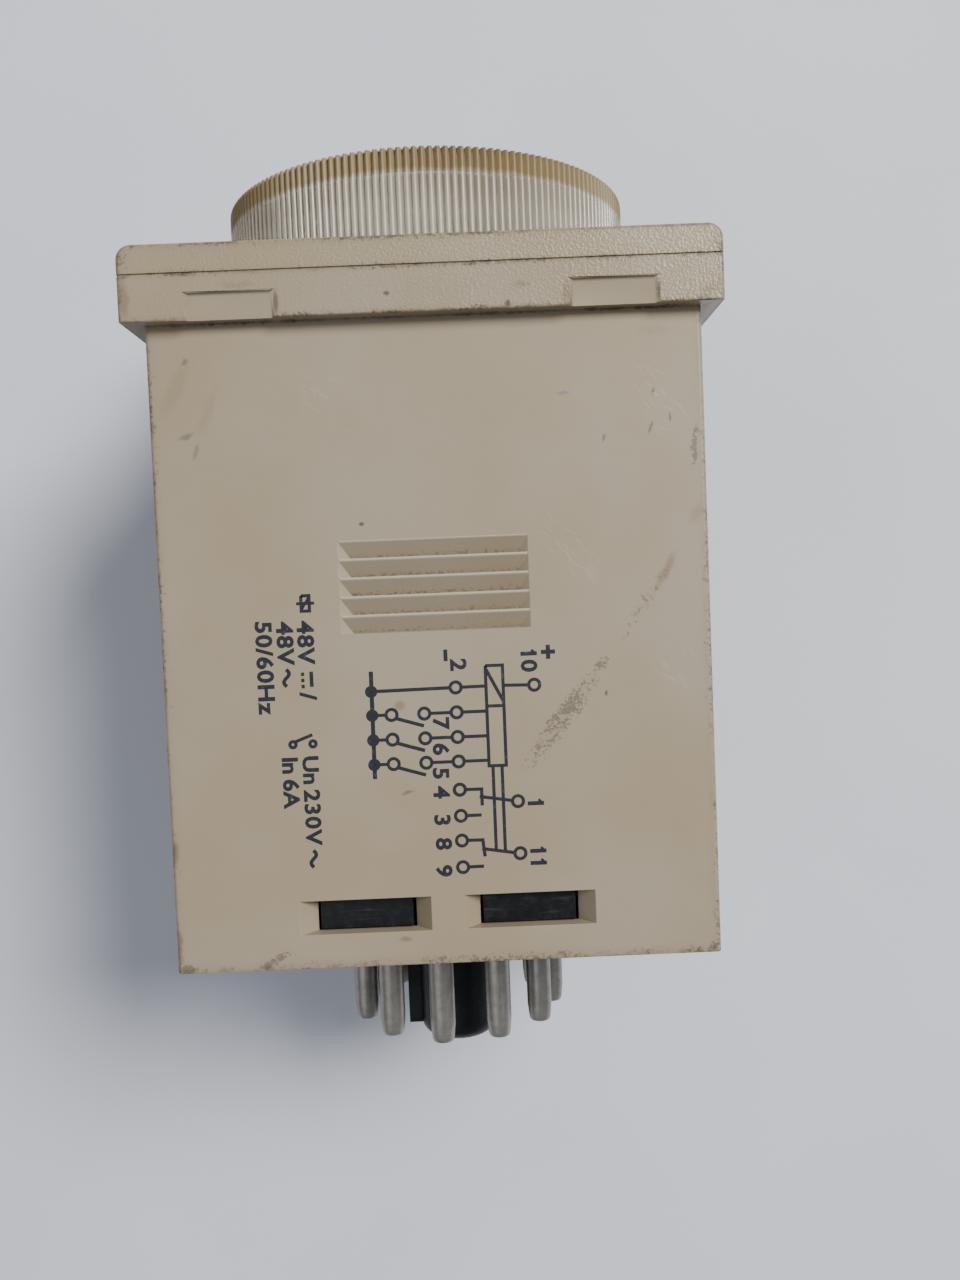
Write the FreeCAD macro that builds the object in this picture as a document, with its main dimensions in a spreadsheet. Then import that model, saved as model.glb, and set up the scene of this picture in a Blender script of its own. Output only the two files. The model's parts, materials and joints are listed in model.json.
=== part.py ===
import FreeCAD, Part
import math
import os
import Sketcher
from types import SimpleNamespace

# Plug-in panel timer, millimetres.
# The origin is the centre of the pin circle in the plane of the case's rear face.
# +Y leaves the case along the plug pins, the dial faces -Y, and +Z is the printed side.
# As mounted in a panel, -X is up, and the key rib of the plug points down, to +X.

SIZES = [
    # case
    ("case_side", 44.8, "outside of the square case, for a 45 mm panel cutout"),
    ("case_wall", 1.5, "wall of the case"),
    ("case_edge", 0.4, "rounding along the case's long edges"),
    ("case_length", 52.7, "rear face to the back of the flange"),
    ("bezel_side", 48.0, "outside of the square front"),
    ("flange_depth", 3.6, "part of the bezel moulded with the case"),
    ("frame_depth", 2.5, "part of the bezel moulded as the front frame"),
    ("bezel_corner", 1.2, "rounding of the front frame's corners, seen from the printed side"),
    ("bezel_edge", 0.4, "rounding of the front frame's other edges"),
    ("flange_edge", 0.4, "rounding of the flange's corners"),
    ("seam_depth", 0.15, "step of the seam between flange and frame"),
    # openings in the case
    ("window_near", 1.34, "latch window, edge nearest the middle"),
    ("window_far", 12.16, "latch window, far edge"),
    ("window_rear", 2.83, "latch window, edge nearest the rear face"),
    ("window_length", 2.79, "latch window along the case"),
    ("window_bevel", 1.35, "bevel at each end of a latch window"),
    ("grip_half", 7.7, "half width of the finger grip"),
    ("grip_rear", 27.4, "finger grip's edge nearest the rear face"),
    ("grip_pitch", 1.53, "one step of the finger grip"),
    ("grip_count", 5, "steps in the finger grip"),
    ("grip_depth", 0.9, "depth of each step"),
    ("grip_land", 0.15, "flat top between two steps"),
    ("notch_near", 11.58, "flange notch, edge nearest the middle"),
    ("notch_far", 18.85, "flange notch, far edge"),
    ("notch_length", 2.2, "flange notch along the case"),
    ("notch_depth", 0.4, "depth and end bevel of a flange notch"),
    # rails that hold the boards
    ("rail_width", 0.9, "thickness of a board rail"),
    ("rail_reach", 1.8, "how far a rail stands in from the wall"),
    ("rail_rear", 9.0, "rear end of the rails"),
    ("rail_front", 47.5, "front end of the rails"),
    ("slot_slack", 0.05, "clearance of a board in its rails"),
    # front
    ("opening_radius", 19.85, "round opening of the front frame"),
    ("corner_offset", 16.9, "corner windows from the middle, both ways"),
    ("corner_radius", 2.4, "corner windows of the front frame"),
    ("lip_outer", 20.8, "outside of the frame's rear lip, half"),
    ("lip_wall", 1.0, "wall of the frame's rear lip"),
    ("lip_depth", 2.0, "length of the frame's rear lip"),
    ("panel_half", 19.7, "half side of the inner front panel"),
    ("panel_thick", 1.5, "thickness of the inner front panel"),
    ("panel_bore", 3.0, "shaft opening of the inner front panel"),
    ("plate_radius", 19.4, "scale plate"),
    ("plate_thick", 0.6, "scale plate"),
    ("plate_bore", 2.6, "shaft opening of the scale plate"),
    # dial
    ("dial_radius", 19.2, "outside of the setting dial"),
    ("dial_stand", 8.7, "dial's front ahead of the bezel"),
    ("dial_sunk", 0.8, "dial's skirt below the front of the bezel"),
    ("dial_disc", 1.8, "thickness of the dial's front disc"),
    ("dial_skirt", 1.3, "wall of the dial's skirt"),
    ("dial_edge", 0.4, "bevel of the dial's front edge"),
    ("dial_sweep", 280.0, "travel of the dial, degrees"),
    ("rib_count", 180, "grip ribs round the dial"),
    ("rib_depth", 0.36, "depth of the valleys between ribs"),
    ("rib_share", 0.92, "part of each rib's pitch that the valley takes"),
    ("hub_radius", 4.5, "hub of the dial"),
    ("hub_rear", 58.2, "rear end of the dial's hub"),
    ("shaft_radius", 2.0, "potentiometer shaft"),
    ("shaft_front", 64.0, "front end of the shaft"),
    ("shaft_rear", 45.4, "rear end of the shaft"),
    ("shaft_flat", 1.5, "flat of the shaft from its axis"),
    ("flat_rear", 59.3, "rear end of the shaft's flat"),
    ("bore_slack", 0.02, "clearance of the dial on its shaft"),
    ("pointer_width", 1.6, "width of the dial's pointer"),
    ("pointer_reach", 17.0, "outer end of the dial's pointer"),
    ("pointer_ring", 6.4, "ring that holds the pointer on the hub"),
    ("pointer_thick", 0.6, "thickness of the pointer"),
    # plug base and pins
    ("base_half", 20.8, "half side of the plug base"),
    ("base_thick", 2.4, "plate of the plug base"),
    ("boss_radius", 13.0, "pin boss inside the case"),
    ("boss_rear", 4.5, "front end of the pin boss"),
    ("key_radius", 3.9, "key post"),
    ("key_length", 14.4, "key post"),
    ("key_round", 1.6, "rounding of the key post's end"),
    ("key_rib_reach", 5.1, "key rib from the post's axis"),
    ("key_rib_width", 1.7, "key rib"),
    ("key_rib_length", 13.2, "key rib"),
    ("pin_circle", 19.05, "diameter of the pin circle"),
    ("pin_count", 11, "pins on a circle"),
    ("pin_radius", 1.18, "plug pin"),
    ("pin_tip", 0.9, "flat end of a plug pin"),
    ("pin_taper", 1.2, "length of the tapered end"),
    ("pin_length", 11.7, "plug pin beyond the rear face"),
    ("pin_seat", 1.0, "plug pin inside the plug base"),
    ("pin_hole", 1.02, "pin hole of the plug base"),
    ("tail_radius", 0.6, "solder tail of a pin"),
    ("tail_front", 8.3, "front end of the solder tails"),
    ("latch_near", 2.9, "latch arm, edge nearest the middle"),
    ("latch_far", 10.6, "latch arm, far edge"),
    ("latch_thick", 1.2, "latch arm"),
    ("latch_nose", 0.5, "latch nose proud of its arm"),
    ("latch_front", 5.4, "front end of the latch arms"),
    ("latch_rear", 2.95, "rear face of the latch noses"),
    # boards
    ("board_thick", 1.2, "circuit boards"),
    ("base_board_half", 19.9, "half side of the pin board"),
    ("base_board_rear", 6.5, "rear face of the pin board"),
    ("tail_hole", 0.75, "pin board hole for a solder tail"),
    ("side_board_in", 15.8, "inner face of the two side boards"),
    ("side_board_half", 19.8, "half width of the side boards"),
    ("side_board_rear", 8.2, "rear edge of the side boards"),
    ("side_board_front", 47.0, "front edge of the side boards"),
    ("front_board_half", 20.2, "half side of the front board"),
    ("front_board_rear", 49.0, "rear face of the front board"),
    ("link_pin", 0.6, "side of a square board link pin"),
    ("link_pitch", 2.54, "spacing of the link pins"),
    ("link_first", 8.5, "first link pin from the middle"),
    ("link_overlap", 2.8, "link pin alongside a side board"),
    # potentiometer
    ("pot_radius", 8.0, "potentiometer case"),
    ("pot_depth", 5.0, "potentiometer case"),
    ("pot_wall", 0.6, "potentiometer case"),
    ("bushing_radius", 3.5, "potentiometer bushing"),
    ("bushing_front", 52.8, "front end of the bushing"),
    ("shaft_slack", 0.06, "running clearance of the shaft"),
    ("nut_flats", 9.0, "fixing nut across its flats"),
    ("nut_thick", 1.6, "fixing nut"),
    ("track_thick", 0.8, "resistance track wafer"),
    ("wiper_radius", 6.6, "wiper disc"),
    ("wiper_thick", 0.6, "wiper disc"),
    ("wiper_rear", 45.8, "rear face of the wiper disc"),
    ("brush_near", 4.5, "wiper's brush, inner edge from the axis"),
    ("brush_far", 6.0, "wiper's brush, outer edge from the axis"),
    ("brush_half", 0.5, "half width of the wiper's brush"),
    ("brush_gap", 0.1, "brush above the resistance track"),
    ("terminal_pitch", 5.0, "potentiometer terminals"),
    ("terminal_width", 1.2, "potentiometer terminals"),
    ("terminal_thick", 0.4, "potentiometer terminals"),
    ("terminal_reach", 9.6, "outer face of the terminals"),
    # selectors, lamps
    ("selector_side", 6.0, "selector switch body"),
    ("selector_depth", 3.8, "selector switch body"),
    ("rotor_radius", 2.3, "selector rotor"),
    ("rotor_front", 58.5, "front end of a selector rotor"),
    ("rotor_gap", 0.1, "rotor above its body"),
    ("stem_radius", 1.0, "stem of a rotor"),
    ("stem_length", 2.9, "stem of a rotor"),
    ("stem_slack", 0.06, "running clearance of a rotor"),
    ("driver_slot", 0.7, "screwdriver slot of a rotor"),
    ("lens_radius", 2.3, "lamp window"),
    ("lens_stem", 1.9, "light pipe behind a lamp window"),
    ("lens_front", 59.1, "front end of a lamp window"),
    ("lens_rear", 53.8, "rear end of the light pipe"),
    ("lamp_radius", 1.5, "lamp"),
    ("lamp_depth", 3.2, "lamp"),
    # relay
    ("relay_rear", 9.5, "rear end of the relay"),
    ("relay_length", 29.0, "relay along the case"),
    ("relay_half", 6.5, "half width of the relay"),
    ("relay_base_thick", 1.8, "relay base"),
    ("relay_top", 10.0, "top of the relay's cover"),
    ("relay_wall", 0.7, "wall of the relay's cover"),
    ("coil_axis", 17.0, "coil axis from the rear face"),
    ("core_radius", 1.9, "coil core"),
    ("pole_radius", 3.2, "pole face of the core"),
    ("pole_thick", 0.8, "pole face of the core"),
    ("pole_top", 4.6, "pole face"),
    ("bobbin_tube", 2.5, "bobbin tube"),
    ("bobbin_flange", 5.2, "bobbin flanges"),
    ("bobbin_thick", 0.8, "bobbin flanges"),
    ("winding_radius", 4.8, "winding"),
    ("yoke_thick", 1.2, "yoke and armature leg spacing"),
    ("yoke_half", 4.0, "half width of the yoke"),
    ("yoke_low", 13.4, "lowest face of the yoke"),
    ("yoke_front", 24.0, "front face of the yoke"),
    ("yoke_top", 4.5, "top edge of the yoke"),
    ("armature_gap", 0.1, "closed armature above the pole"),
    ("armature_thick", 1.0, "armature plate"),
    ("armature_half", 4.2, "half width of the armature"),
    ("armature_rear", 13.5, "rear edge of the armature"),
    ("armature_pivot", 23.4, "armature pivot from the rear face"),
    ("armature_open", 5.0, "angle of the open armature, degrees"),
    ("leg_inner", 24.7, "rear face of the closed armature's leg"),
    ("leg_thick", 0.8, "armature's leg"),
    ("leg_low", 1.2, "lower end of the armature's leg"),
    ("card_rear", 25.12, "rear end of the card"),
    ("card_front", 28.62, "front end of the card"),
    ("card_low", 2.0, "lower edge of the card"),
    ("card_high", 0.4, "upper edge of the card"),
    ("card_stem", 0.9, "half width of the card's stem"),
    ("card_head", 4.4, "half width of the card's head"),
    ("card_thick", 0.5, "card's head"),
    ("blade_offset", 3.7, "contact blades from the middle"),
    ("blade_width", 3.0, "contact blades"),
    ("blade_low", 13.9, "lower end of the contact blades"),
    ("blade_high", 4.6, "upper end of the contact blades"),
    ("moving_rear", 28.7, "rear face of the moving blades"),
    ("moving_thick", 0.25, "moving blades"),
    ("fixed_thick", 0.4, "fixed blades"),
    ("break_rear", 27.0, "rear face of the break blades"),
    ("make_rear", 31.0, "rear face of the make blades"),
    ("rivet_radius", 1.1, "contact rivets"),
    ("rivet_height", 0.6, "fixed contact rivets"),
    ("rivet_centre", 3.2, "height of the rivets"),
    ("contact_gap", 0.02, "closed contacts"),
    ("rivet_front", 0.65, "moving rivet's front height"),
    # board components
    ("part_row", 13.0, "side components from the middle"),
    ("film_length", 17.0, "film capacitor"),
    ("film_width", 9.0, "film capacitor"),
    ("film_height", 11.0, "film capacitor"),
    ("film_rear", 26.0, "film capacitor"),
    ("can_radius", 5.0, "smoothing capacitor"),
    ("can_height", 12.5, "smoothing capacitor"),
    ("can_rear", 17.5, "axis of the smoothing capacitor"),
    ("varistor_radius", 5.0, "surge varistor"),
    ("varistor_thick", 4.0, "surge varistor"),
    ("varistor_rear", 37.0, "surge varistor"),
    ("varistor_lift", 0.5, "surge varistor above its board"),
    ("surge_radius", 2.2, "surge resistor"),
    ("surge_length", 12.0, "surge resistor"),
    ("surge_rear", 24.0, "surge resistor"),
    ("diode_radius", 1.2, "rectifier diodes"),
    ("diode_length", 5.0, "rectifier diodes"),
    ("diode_rear", 13.0, "first rectifier diode"),
    ("diode_pitch", 3.0, "rectifier diodes"),
    ("resistor_radius", 1.1, "small resistors"),
    ("resistor_length", 6.3, "small resistors"),
    ("resistor_rear", 24.0, "first small resistor"),
    ("resistor_pitch", 3.2, "small resistors"),
    ("disc_radius", 2.2, "ceramic capacitors"),
    ("disc_thick", 1.8, "ceramic capacitors"),
    ("disc_rear", 16.0, "first ceramic capacitor"),
    ("disc_pitch", 8.0, "ceramic capacitors"),
    ("chip_length", 19.0, "timer chip"),
    ("chip_half", 3.2, "half width of the timer chip"),
    ("chip_height", 3.4, "timer chip"),
    ("chip_lift", 0.5, "timer chip above its board"),
    ("chip_rear", 17.0, "timer chip"),
    ("chip_leg_width", 0.5, "timer chip leg"),
    ("chip_leg_thick", 0.3, "timer chip leg"),
    ("transistor_radius", 2.4, "relay driver"),
    ("transistor_height", 4.8, "relay driver"),
    ("transistor_rear", 13.0, "axis of the relay driver"),
]

doc = FreeCAD.newDocument("timer")
sheet = doc.addObject("Spreadsheet::Sheet", "sizes")
for row, (alias, number, note) in enumerate(SIZES, start=1):
    sheet.set("A%d" % row, note)
    sheet.set("B%d" % row, str(number))
    sheet.setAlias("B%d" % row, alias)
doc.recompute()


class Size:
    """A length that keeps both its number and the expression it is worked out by."""

    def __init__(self, number, text):
        self.number = number
        self.text = text

    def __add__(self, other):
        return Size(self.number + number_of(other), "(%s + %s)" % (self.text, text_of(other)))

    def __sub__(self, other):
        return Size(self.number - number_of(other), "(%s - %s)" % (self.text, text_of(other)))

    def __mul__(self, other):
        return Size(self.number * number_of(other), "(%s * %s)" % (self.text, text_of(other)))

    def __truediv__(self, other):
        return Size(self.number / number_of(other), "(%s / %s)" % (self.text, text_of(other)))

    def __rsub__(self, other):
        return Size(number_of(other), text_of(other)) - self

    def __neg__(self):
        return self * -1

    __radd__ = __add__
    __rmul__ = __mul__


def number_of(value):
    return value.number if isinstance(value, Size) else float(value)


def text_of(value):
    return value.text if isinstance(value, Size) else "%.6f" % value


size = SimpleNamespace(**{alias: Size(number, "sizes." + alias) for alias, number, note in SIZES})
nodes = []


def node(item, label):
    """Name a finished sub-part; its label is the name it is written under."""
    item.Label = label
    nodes.append(item)
    return item


# ---- Part primitives and booleans -------------------------------------------------

TURN_TO = {
    "x": FreeCAD.Rotation(FreeCAD.Vector(0, 1, 0), 90),
    "y": FreeCAD.Rotation(FreeCAD.Vector(1, 0, 0), -90),
    "z": FreeCAD.Rotation(),
}


def bind(item, values):
    for name, value in values.items():
        item.setExpression(name, text_of(value))
    return item


def place(item, x, y, z):
    return bind(item, {"Placement.Base.x": x, "Placement.Base.y": y, "Placement.Base.z": z})


def box(x, y, z):
    """A block between two planes each way, each given as (low, high)."""
    item = doc.addObject("Part::Box", "block")
    bind(item, {"Length": x[1] - x[0], "Width": y[1] - y[0], "Height": z[1] - z[0]})
    return place(item, x[0], y[0], z[0])


def spot(axis, start, across):
    """Where a rod starts: `start` along its axis and `across` on the other two."""
    first, second = across
    return {"x": (start, first, second), "y": (first, start, second), "z": (first, second, start)}[axis]


def rod(axis, ends, radius, across=(0, 0)):
    item = doc.addObject("Part::Cylinder", "rod")
    item.Placement.Rotation = TURN_TO[axis]
    bind(item, {"Radius": radius, "Height": ends[1] - ends[0]})
    return place(item, *spot(axis, ends[0], across))


def join(*items):
    item = doc.addObject("Part::MultiFuse", "join")
    item.Shapes = list(items)
    item.Refine = True
    return item


def group(*items):
    """Separate solids that share one node."""
    item = doc.addObject("Part::Compound", "group")
    item.Links = list(items)
    return item


def cut(base, *tools):
    item = doc.addObject("Part::Cut", "cut")
    item.Base = base
    item.Tool = tools[0] if len(tools) == 1 else group(*tools)
    item.Refine = True
    return item


def common(*items):
    item = doc.addObject("Part::MultiCommon", "common")
    item.Shapes = list(items)
    return item


# ---- PartDesign bodies ------------------------------------------------------------


def new_body(name):
    return doc.addObject("PartDesign::Body", name + "_body")


def new_sketch(body, plane, offset=0):
    """A sketch on one of the body's origin planes, moved along that plane's normal."""
    sketch = body.newObject("Sketcher::SketchObject", "outline")
    origin_plane = next(item for item in body.Origin.OriginFeatures if item.Role == plane)
    sketch.AttachmentSupport = [(origin_plane, "")]
    sketch.MapMode = "FlatFace"
    sketch.setExpression("AttachmentOffset.Base.z", text_of(offset))
    return sketch


def hold(sketch, kind, *where_and_value):
    *where, value = where_and_value
    index = sketch.addConstraint(Sketcher.Constraint(kind, *where, number_of(value)))
    sketch.setExpression("Constraints[%d]" % index, text_of(value))


def outline(sketch, points):
    """A closed run of straight lines through points that follow the sheet."""
    corners = [FreeCAD.Vector(number_of(u), number_of(v), 0) for u, v in points]
    first = sketch.GeometryCount
    count = len(corners)
    for index in range(count):
        sketch.addGeometry(Part.LineSegment(corners[index], corners[(index + 1) % count]))
    for index in range(count):
        follower = first + (index + 1) % count
        sketch.addConstraint(Sketcher.Constraint("Coincident", first + index, 2, follower, 1))
        hold(sketch, "DistanceX", -1, 1, first + index, 1, points[index][0])
        hold(sketch, "DistanceY", -1, 1, first + index, 1, points[index][1])


def rectangle(sketch, u, v):
    outline(sketch, [(u[0], v[0]), (u[1], v[0]), (u[1], v[1]), (u[0], v[1])])


def circle(sketch, radius, u=0, v=0):
    centre = FreeCAD.Vector(number_of(u), number_of(v), 0)
    index = sketch.addGeometry(Part.Circle(centre, FreeCAD.Vector(0, 0, 1), number_of(radius)))
    hold(sketch, "Radius", index, radius)
    hold(sketch, "DistanceX", -1, 1, index, 3, u)
    hold(sketch, "DistanceY", -1, 1, index, 3, v)


def pad_y(body, ends, draw):
    """Grow what `draw` sketches in X and Z from the rear y down to the front y."""
    front, rear = ends
    sketch = new_sketch(body, "XZ_Plane", -1 * rear)
    draw(sketch)
    feature = body.newObject("PartDesign::Pad", "pad")
    feature.Profile = sketch
    bind(feature, {"Length": rear - front})
    doc.recompute()
    return feature


def pocket_y(body, ends, draw):
    """Cut what `draw` sketches in X and Z between two y planes."""
    front, rear = ends
    before = body.Shape.Volume
    sketch = new_sketch(body, "XZ_Plane", -1 * front)
    draw(sketch)
    feature = body.newObject("PartDesign::Pocket", "pocket")
    feature.Profile = sketch
    bind(feature, {"Length": rear - front})
    doc.recompute()
    if body.Shape.Volume > before - NEAR:
        raise RuntimeError(body.Label + ": a pocket cuts nothing")
    return feature


def turn_about_y(body, points):
    """Revolve a profile of (radius, y) points about the Y axis."""
    sketch = new_sketch(body, "XY_Plane")
    outline(sketch, points)
    feature = body.newObject("PartDesign::Revolution", "turning")
    feature.Profile = sketch
    feature.ReferenceAxis = (sketch, ["V_Axis"])
    feature.Angle = 360
    doc.recompute()
    return feature


def round_edges(body, base, radius, wanted):
    """Fillet the edges of `base` that pass the test `wanted`."""
    names = ["Edge%d" % (index + 1) for index, edge in enumerate(base.Shape.Edges) if wanted(edge)]
    feature = body.newObject("PartDesign::Fillet", "rounding")
    feature.Base = (base, names)
    bind(feature, {"Radius": radius})
    doc.recompute()
    return feature


def runs_along(edge, axis):
    return isinstance(edge.Curve, Part.Line) and abs(edge.tangentAt(edge.FirstParameter).dot(axis)) > 0.999


ALONG_Y = FreeCAD.Vector(0, 1, 0)
ALONG_Z = FreeCAD.Vector(0, 0, 1)
SIDES = (-1, 1)
PAST = 1.0          # how far a cutter runs past what it cuts
NEAR = 0.01         # two lengths this close are the same

# planes that several pieces share
case_half = size.case_side / 2
bezel_half = size.bezel_side / 2
cavity_half = case_half - size.case_wall
flange_rear = -size.case_length
flange_front = flange_rear - size.flange_depth
bezel_front = flange_front - size.frame_depth
dial_front = bezel_front - size.dial_stand
dial_rear = bezel_front + size.dial_sunk
front_board_front = -(size.front_board_rear + size.board_thick)
side_board_out = size.side_board_in + size.board_thick
pin_ring = size.pin_circle / 2


def pin_angle(number):
    """Pins run clockwise from the key rib, seen from their own end."""
    return math.radians(360.0 / size.pin_count.number * (number - 0.5))


def pin_place(number):
    angle = pin_angle(number)
    return pin_ring * math.cos(angle), pin_ring * math.sin(angle)


def pin_numbers():
    return range(1, int(size.pin_count.number) + 1)


def mirrored(near, far, side):
    """The span from near to far on one side of the middle."""
    return (near, far) if side > 0 else (-far, -near)


# ---- case -------------------------------------------------------------------------


def grip_cutter(side):
    """Stepped recess for the fingers on one side, with bevelled ends."""
    low = case_half - size.grip_depth
    steps = []
    for index in range(int(size.grip_count.number)):
        rear = -(size.grip_rear + index * size.grip_pitch)
        front = rear - size.grip_pitch + size.grip_land
        points = [(rear, low), (front, case_half), (front, case_half + PAST), (rear, case_half + PAST)]
        steps.append(prism_x([(y, side * z) for y, z in points], size.grip_half + PAST))
    beyond = size.grip_half + PAST
    bottom = size.grip_half - size.grip_depth
    ends = [(-bottom, low), (bottom, low), (beyond, case_half + PAST), (-beyond, case_half + PAST)]
    grip_front = -(size.grip_rear + size.grip_count * size.grip_pitch)
    frame = prism_y([(x, side * z) for x, z in ends], grip_front - PAST, -size.grip_rear + PAST)
    return common(join(*steps), frame)


def prism_body(plane, points, offset, length):
    body = new_body("prism")
    sketch = new_sketch(body, plane, offset)
    outline(sketch, points)
    feature = body.newObject("PartDesign::Pad", "pad")
    feature.Profile = sketch
    bind(feature, {"Length": length})
    return body


def prism_x(points, half):
    return prism_body("YZ_Plane", points, -half, half * 2)


def prism_y(points, front, rear):
    return prism_body("XZ_Plane", points, -rear, rear - front)


def make_housing():
    body = new_body("housing")
    shell = pad_y(body, (flange_front, 0), lambda sketch: rectangle(
        sketch, (-case_half, case_half), (-case_half, case_half)))
    round_edges(body, shell, size.case_edge, lambda edge: runs_along(edge, ALONG_Y))
    flange = new_body("flange")
    slab = pad_y(flange, (flange_front, flange_rear), lambda sketch: rectangle(
        sketch, (-bezel_half, bezel_half), (-bezel_half, bezel_half)))
    round_edges(flange, slab, size.flange_edge, lambda edge: runs_along(edge, ALONG_Y))
    cavity = box((-cavity_half, cavity_half), (flange_front - PAST, PAST), (-cavity_half, cavity_half))
    cutters = [cavity]
    for side in SIDES:
        cutters.append(grip_cutter(side))
        for wing in SIDES:
            cutters.append(window_cutter(side, wing))
            cutters.append(notch_cutter(side, wing))
    rails = []
    for side in SIDES:
        for wing in SIDES:
            rails.extend(board_rails(side, wing))
    node(join(cut(join(body, flange), *cutters), *rails), "housing")


def window_cutter(side, wing):
    """Latch window through the wall, its ends bevelled inwards."""
    bevel = size.window_bevel
    spread = bevel / size.case_wall * PAST
    low = cavity_half - PAST
    high = case_half + PAST
    points = [
        (size.window_near + bevel, low),
        (size.window_far - bevel, low),
        (size.window_far - bevel, cavity_half),
        (size.window_far + spread, high),
        (size.window_near - spread, high),
        (size.window_near + bevel, cavity_half),
    ]
    rear = -size.window_rear
    return prism_y([(wing * x, side * z) for x, z in points], rear - size.window_length, rear)


def notch_cutter(side, wing):
    """Shallow notch in the flange, open towards the rear, its ends bevelled."""
    low = bezel_half - size.notch_depth
    high = bezel_half + size.notch_depth
    points = [
        (size.notch_near + size.notch_depth, low),
        (size.notch_far - size.notch_depth, low),
        (size.notch_far + size.notch_depth, high),
        (size.notch_near - size.notch_depth, high),
    ]
    front = flange_rear - size.notch_length
    return prism_y([(wing * x, side * z) for x, z in points], front, flange_rear + PAST)


def board_rails(side, wing):
    """Two rails that hold one edge of a side board."""
    spans = [
        (side_board_out + size.slot_slack, side_board_out + size.slot_slack + size.rail_width),
        (size.side_board_in - size.slot_slack - size.rail_width, size.side_board_in - size.slot_slack),
    ]
    depth = mirrored(cavity_half - size.rail_reach, cavity_half + size.case_wall / 2, side)
    return [
        box(mirrored(near, far, wing), (-size.rail_front, -size.rail_rear), depth)
        for near, far in spans
    ]


# ---- front ------------------------------------------------------------------------


def each_corner():
    for side in SIDES:
        for wing in SIDES:
            yield wing * size.corner_offset, side * size.corner_offset


def make_front_frame():
    body = new_body("front_frame")
    slab = pad_y(body, (bezel_front, flange_front), lambda sketch: rectangle(
        sketch, (-bezel_half, bezel_half), (-bezel_half, bezel_half)))

    def middle_of(edge):
        return edge.valueAt((edge.FirstParameter + edge.LastParameter) / 2)

    def front_corner(edge):
        return runs_along(edge, ALONG_Z) and abs(middle_of(edge).y - bezel_front.number) < NEAR

    def printed_rim(edge):
        spot = middle_of(edge)
        return abs(abs(spot.z) - bezel_half.number) < NEAR and spot.y < flange_front.number - NEAR

    cornered = round_edges(body, slab, size.bezel_corner, front_corner)
    round_edges(body, cornered, size.bezel_edge, printed_rim)
    lip_inner = size.lip_outer - size.lip_wall

    def draw_lip(sketch):
        rectangle(sketch, (-size.lip_outer, size.lip_outer), (-size.lip_outer, size.lip_outer))
        rectangle(sketch, (-lip_inner, lip_inner), (-lip_inner, lip_inner))

    pad_y(body, (flange_front, flange_front + size.lip_depth), draw_lip)

    def draw_openings(sketch):
        circle(sketch, size.opening_radius)
        for x, z in each_corner():
            circle(sketch, size.corner_radius, x, z)

    pocket_y(body, (bezel_front, flange_front), draw_openings)

    def draw_seam(sketch):
        outer = bezel_half + PAST
        rectangle(sketch, (-outer, outer), (-outer, outer))
        inner = bezel_half - size.seam_depth
        rectangle(sketch, (-inner, inner), (-inner, inner))

    pocket_y(body, (flange_front - size.seam_depth, flange_front), draw_seam)
    node(body, "front_frame")


def make_front_panel():
    body = new_body("front_panel")

    def draw_panel(sketch):
        rectangle(sketch, (-size.panel_half, size.panel_half), (-size.panel_half, size.panel_half))
        circle(sketch, size.panel_bore)
        for x, z in each_corner():
            circle(sketch, size.rotor_radius + size.stem_slack, x, z)

    pad_y(body, (flange_front, flange_front + size.panel_thick), draw_panel)
    node(body, "front_panel")


def make_scale_plate():
    body = new_body("scale_plate")

    def draw_plate(sketch):
        circle(sketch, size.plate_radius)
        circle(sketch, size.plate_bore)

    pad_y(body, (flange_front - size.plate_thick, flange_front), draw_plate)
    node(body, "scale_plate")


def make_lamps():
    for side, name in ((-1, "power"), (1, "output")):
        across = (-size.corner_offset, side * size.corner_offset)
        window = rod("y", (-size.lens_front, flange_front), size.lens_radius, across)
        pipe = rod("y", (flange_front, -size.lens_rear), size.lens_stem, across)
        node(join(window, pipe), name + "_lens")
        dome = doc.addObject("Part::Sphere", "dome")
        bind(dome, {"Radius": size.lamp_radius})
        shoulder = front_board_front - size.lamp_depth + size.lamp_radius
        place(dome, across[0], shoulder, across[1])
        barrel = rod("y", (shoulder, front_board_front), size.lamp_radius, across)
        node(join(dome, barrel), name + "_lamp")


def make_selectors():
    for side, name in ((-1, "range"), (1, "mode")):
        x = size.corner_offset
        z = side * size.corner_offset
        half = size.selector_side / 2
        top = front_board_front - size.selector_depth
        shoulder = top - size.rotor_gap
        bore = rod("y", (top - PAST, top + size.stem_length), size.stem_radius + size.stem_slack, (x, z))
        block = box((x - half, x + half), (top, front_board_front), (z - half, z + half))
        node(cut(block, bore), name + "_selector_body")
        head = rod("y", (-size.rotor_front, shoulder), size.rotor_radius, (x, z))
        stem = rod("y", (shoulder, shoulder + size.stem_length), size.stem_radius, (x, z))
        slot_half = size.driver_slot / 2
        slot = box(
            (x - size.rotor_radius - PAST, x + size.rotor_radius + PAST),
            (-size.rotor_front - PAST, -size.rotor_front + size.driver_slot),
            (z - slot_half, z + slot_half),
        )
        node(cut(join(head, stem), slot), name + "_selector_rotor")


# ---- dial and potentiometer -------------------------------------------------------


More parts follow.
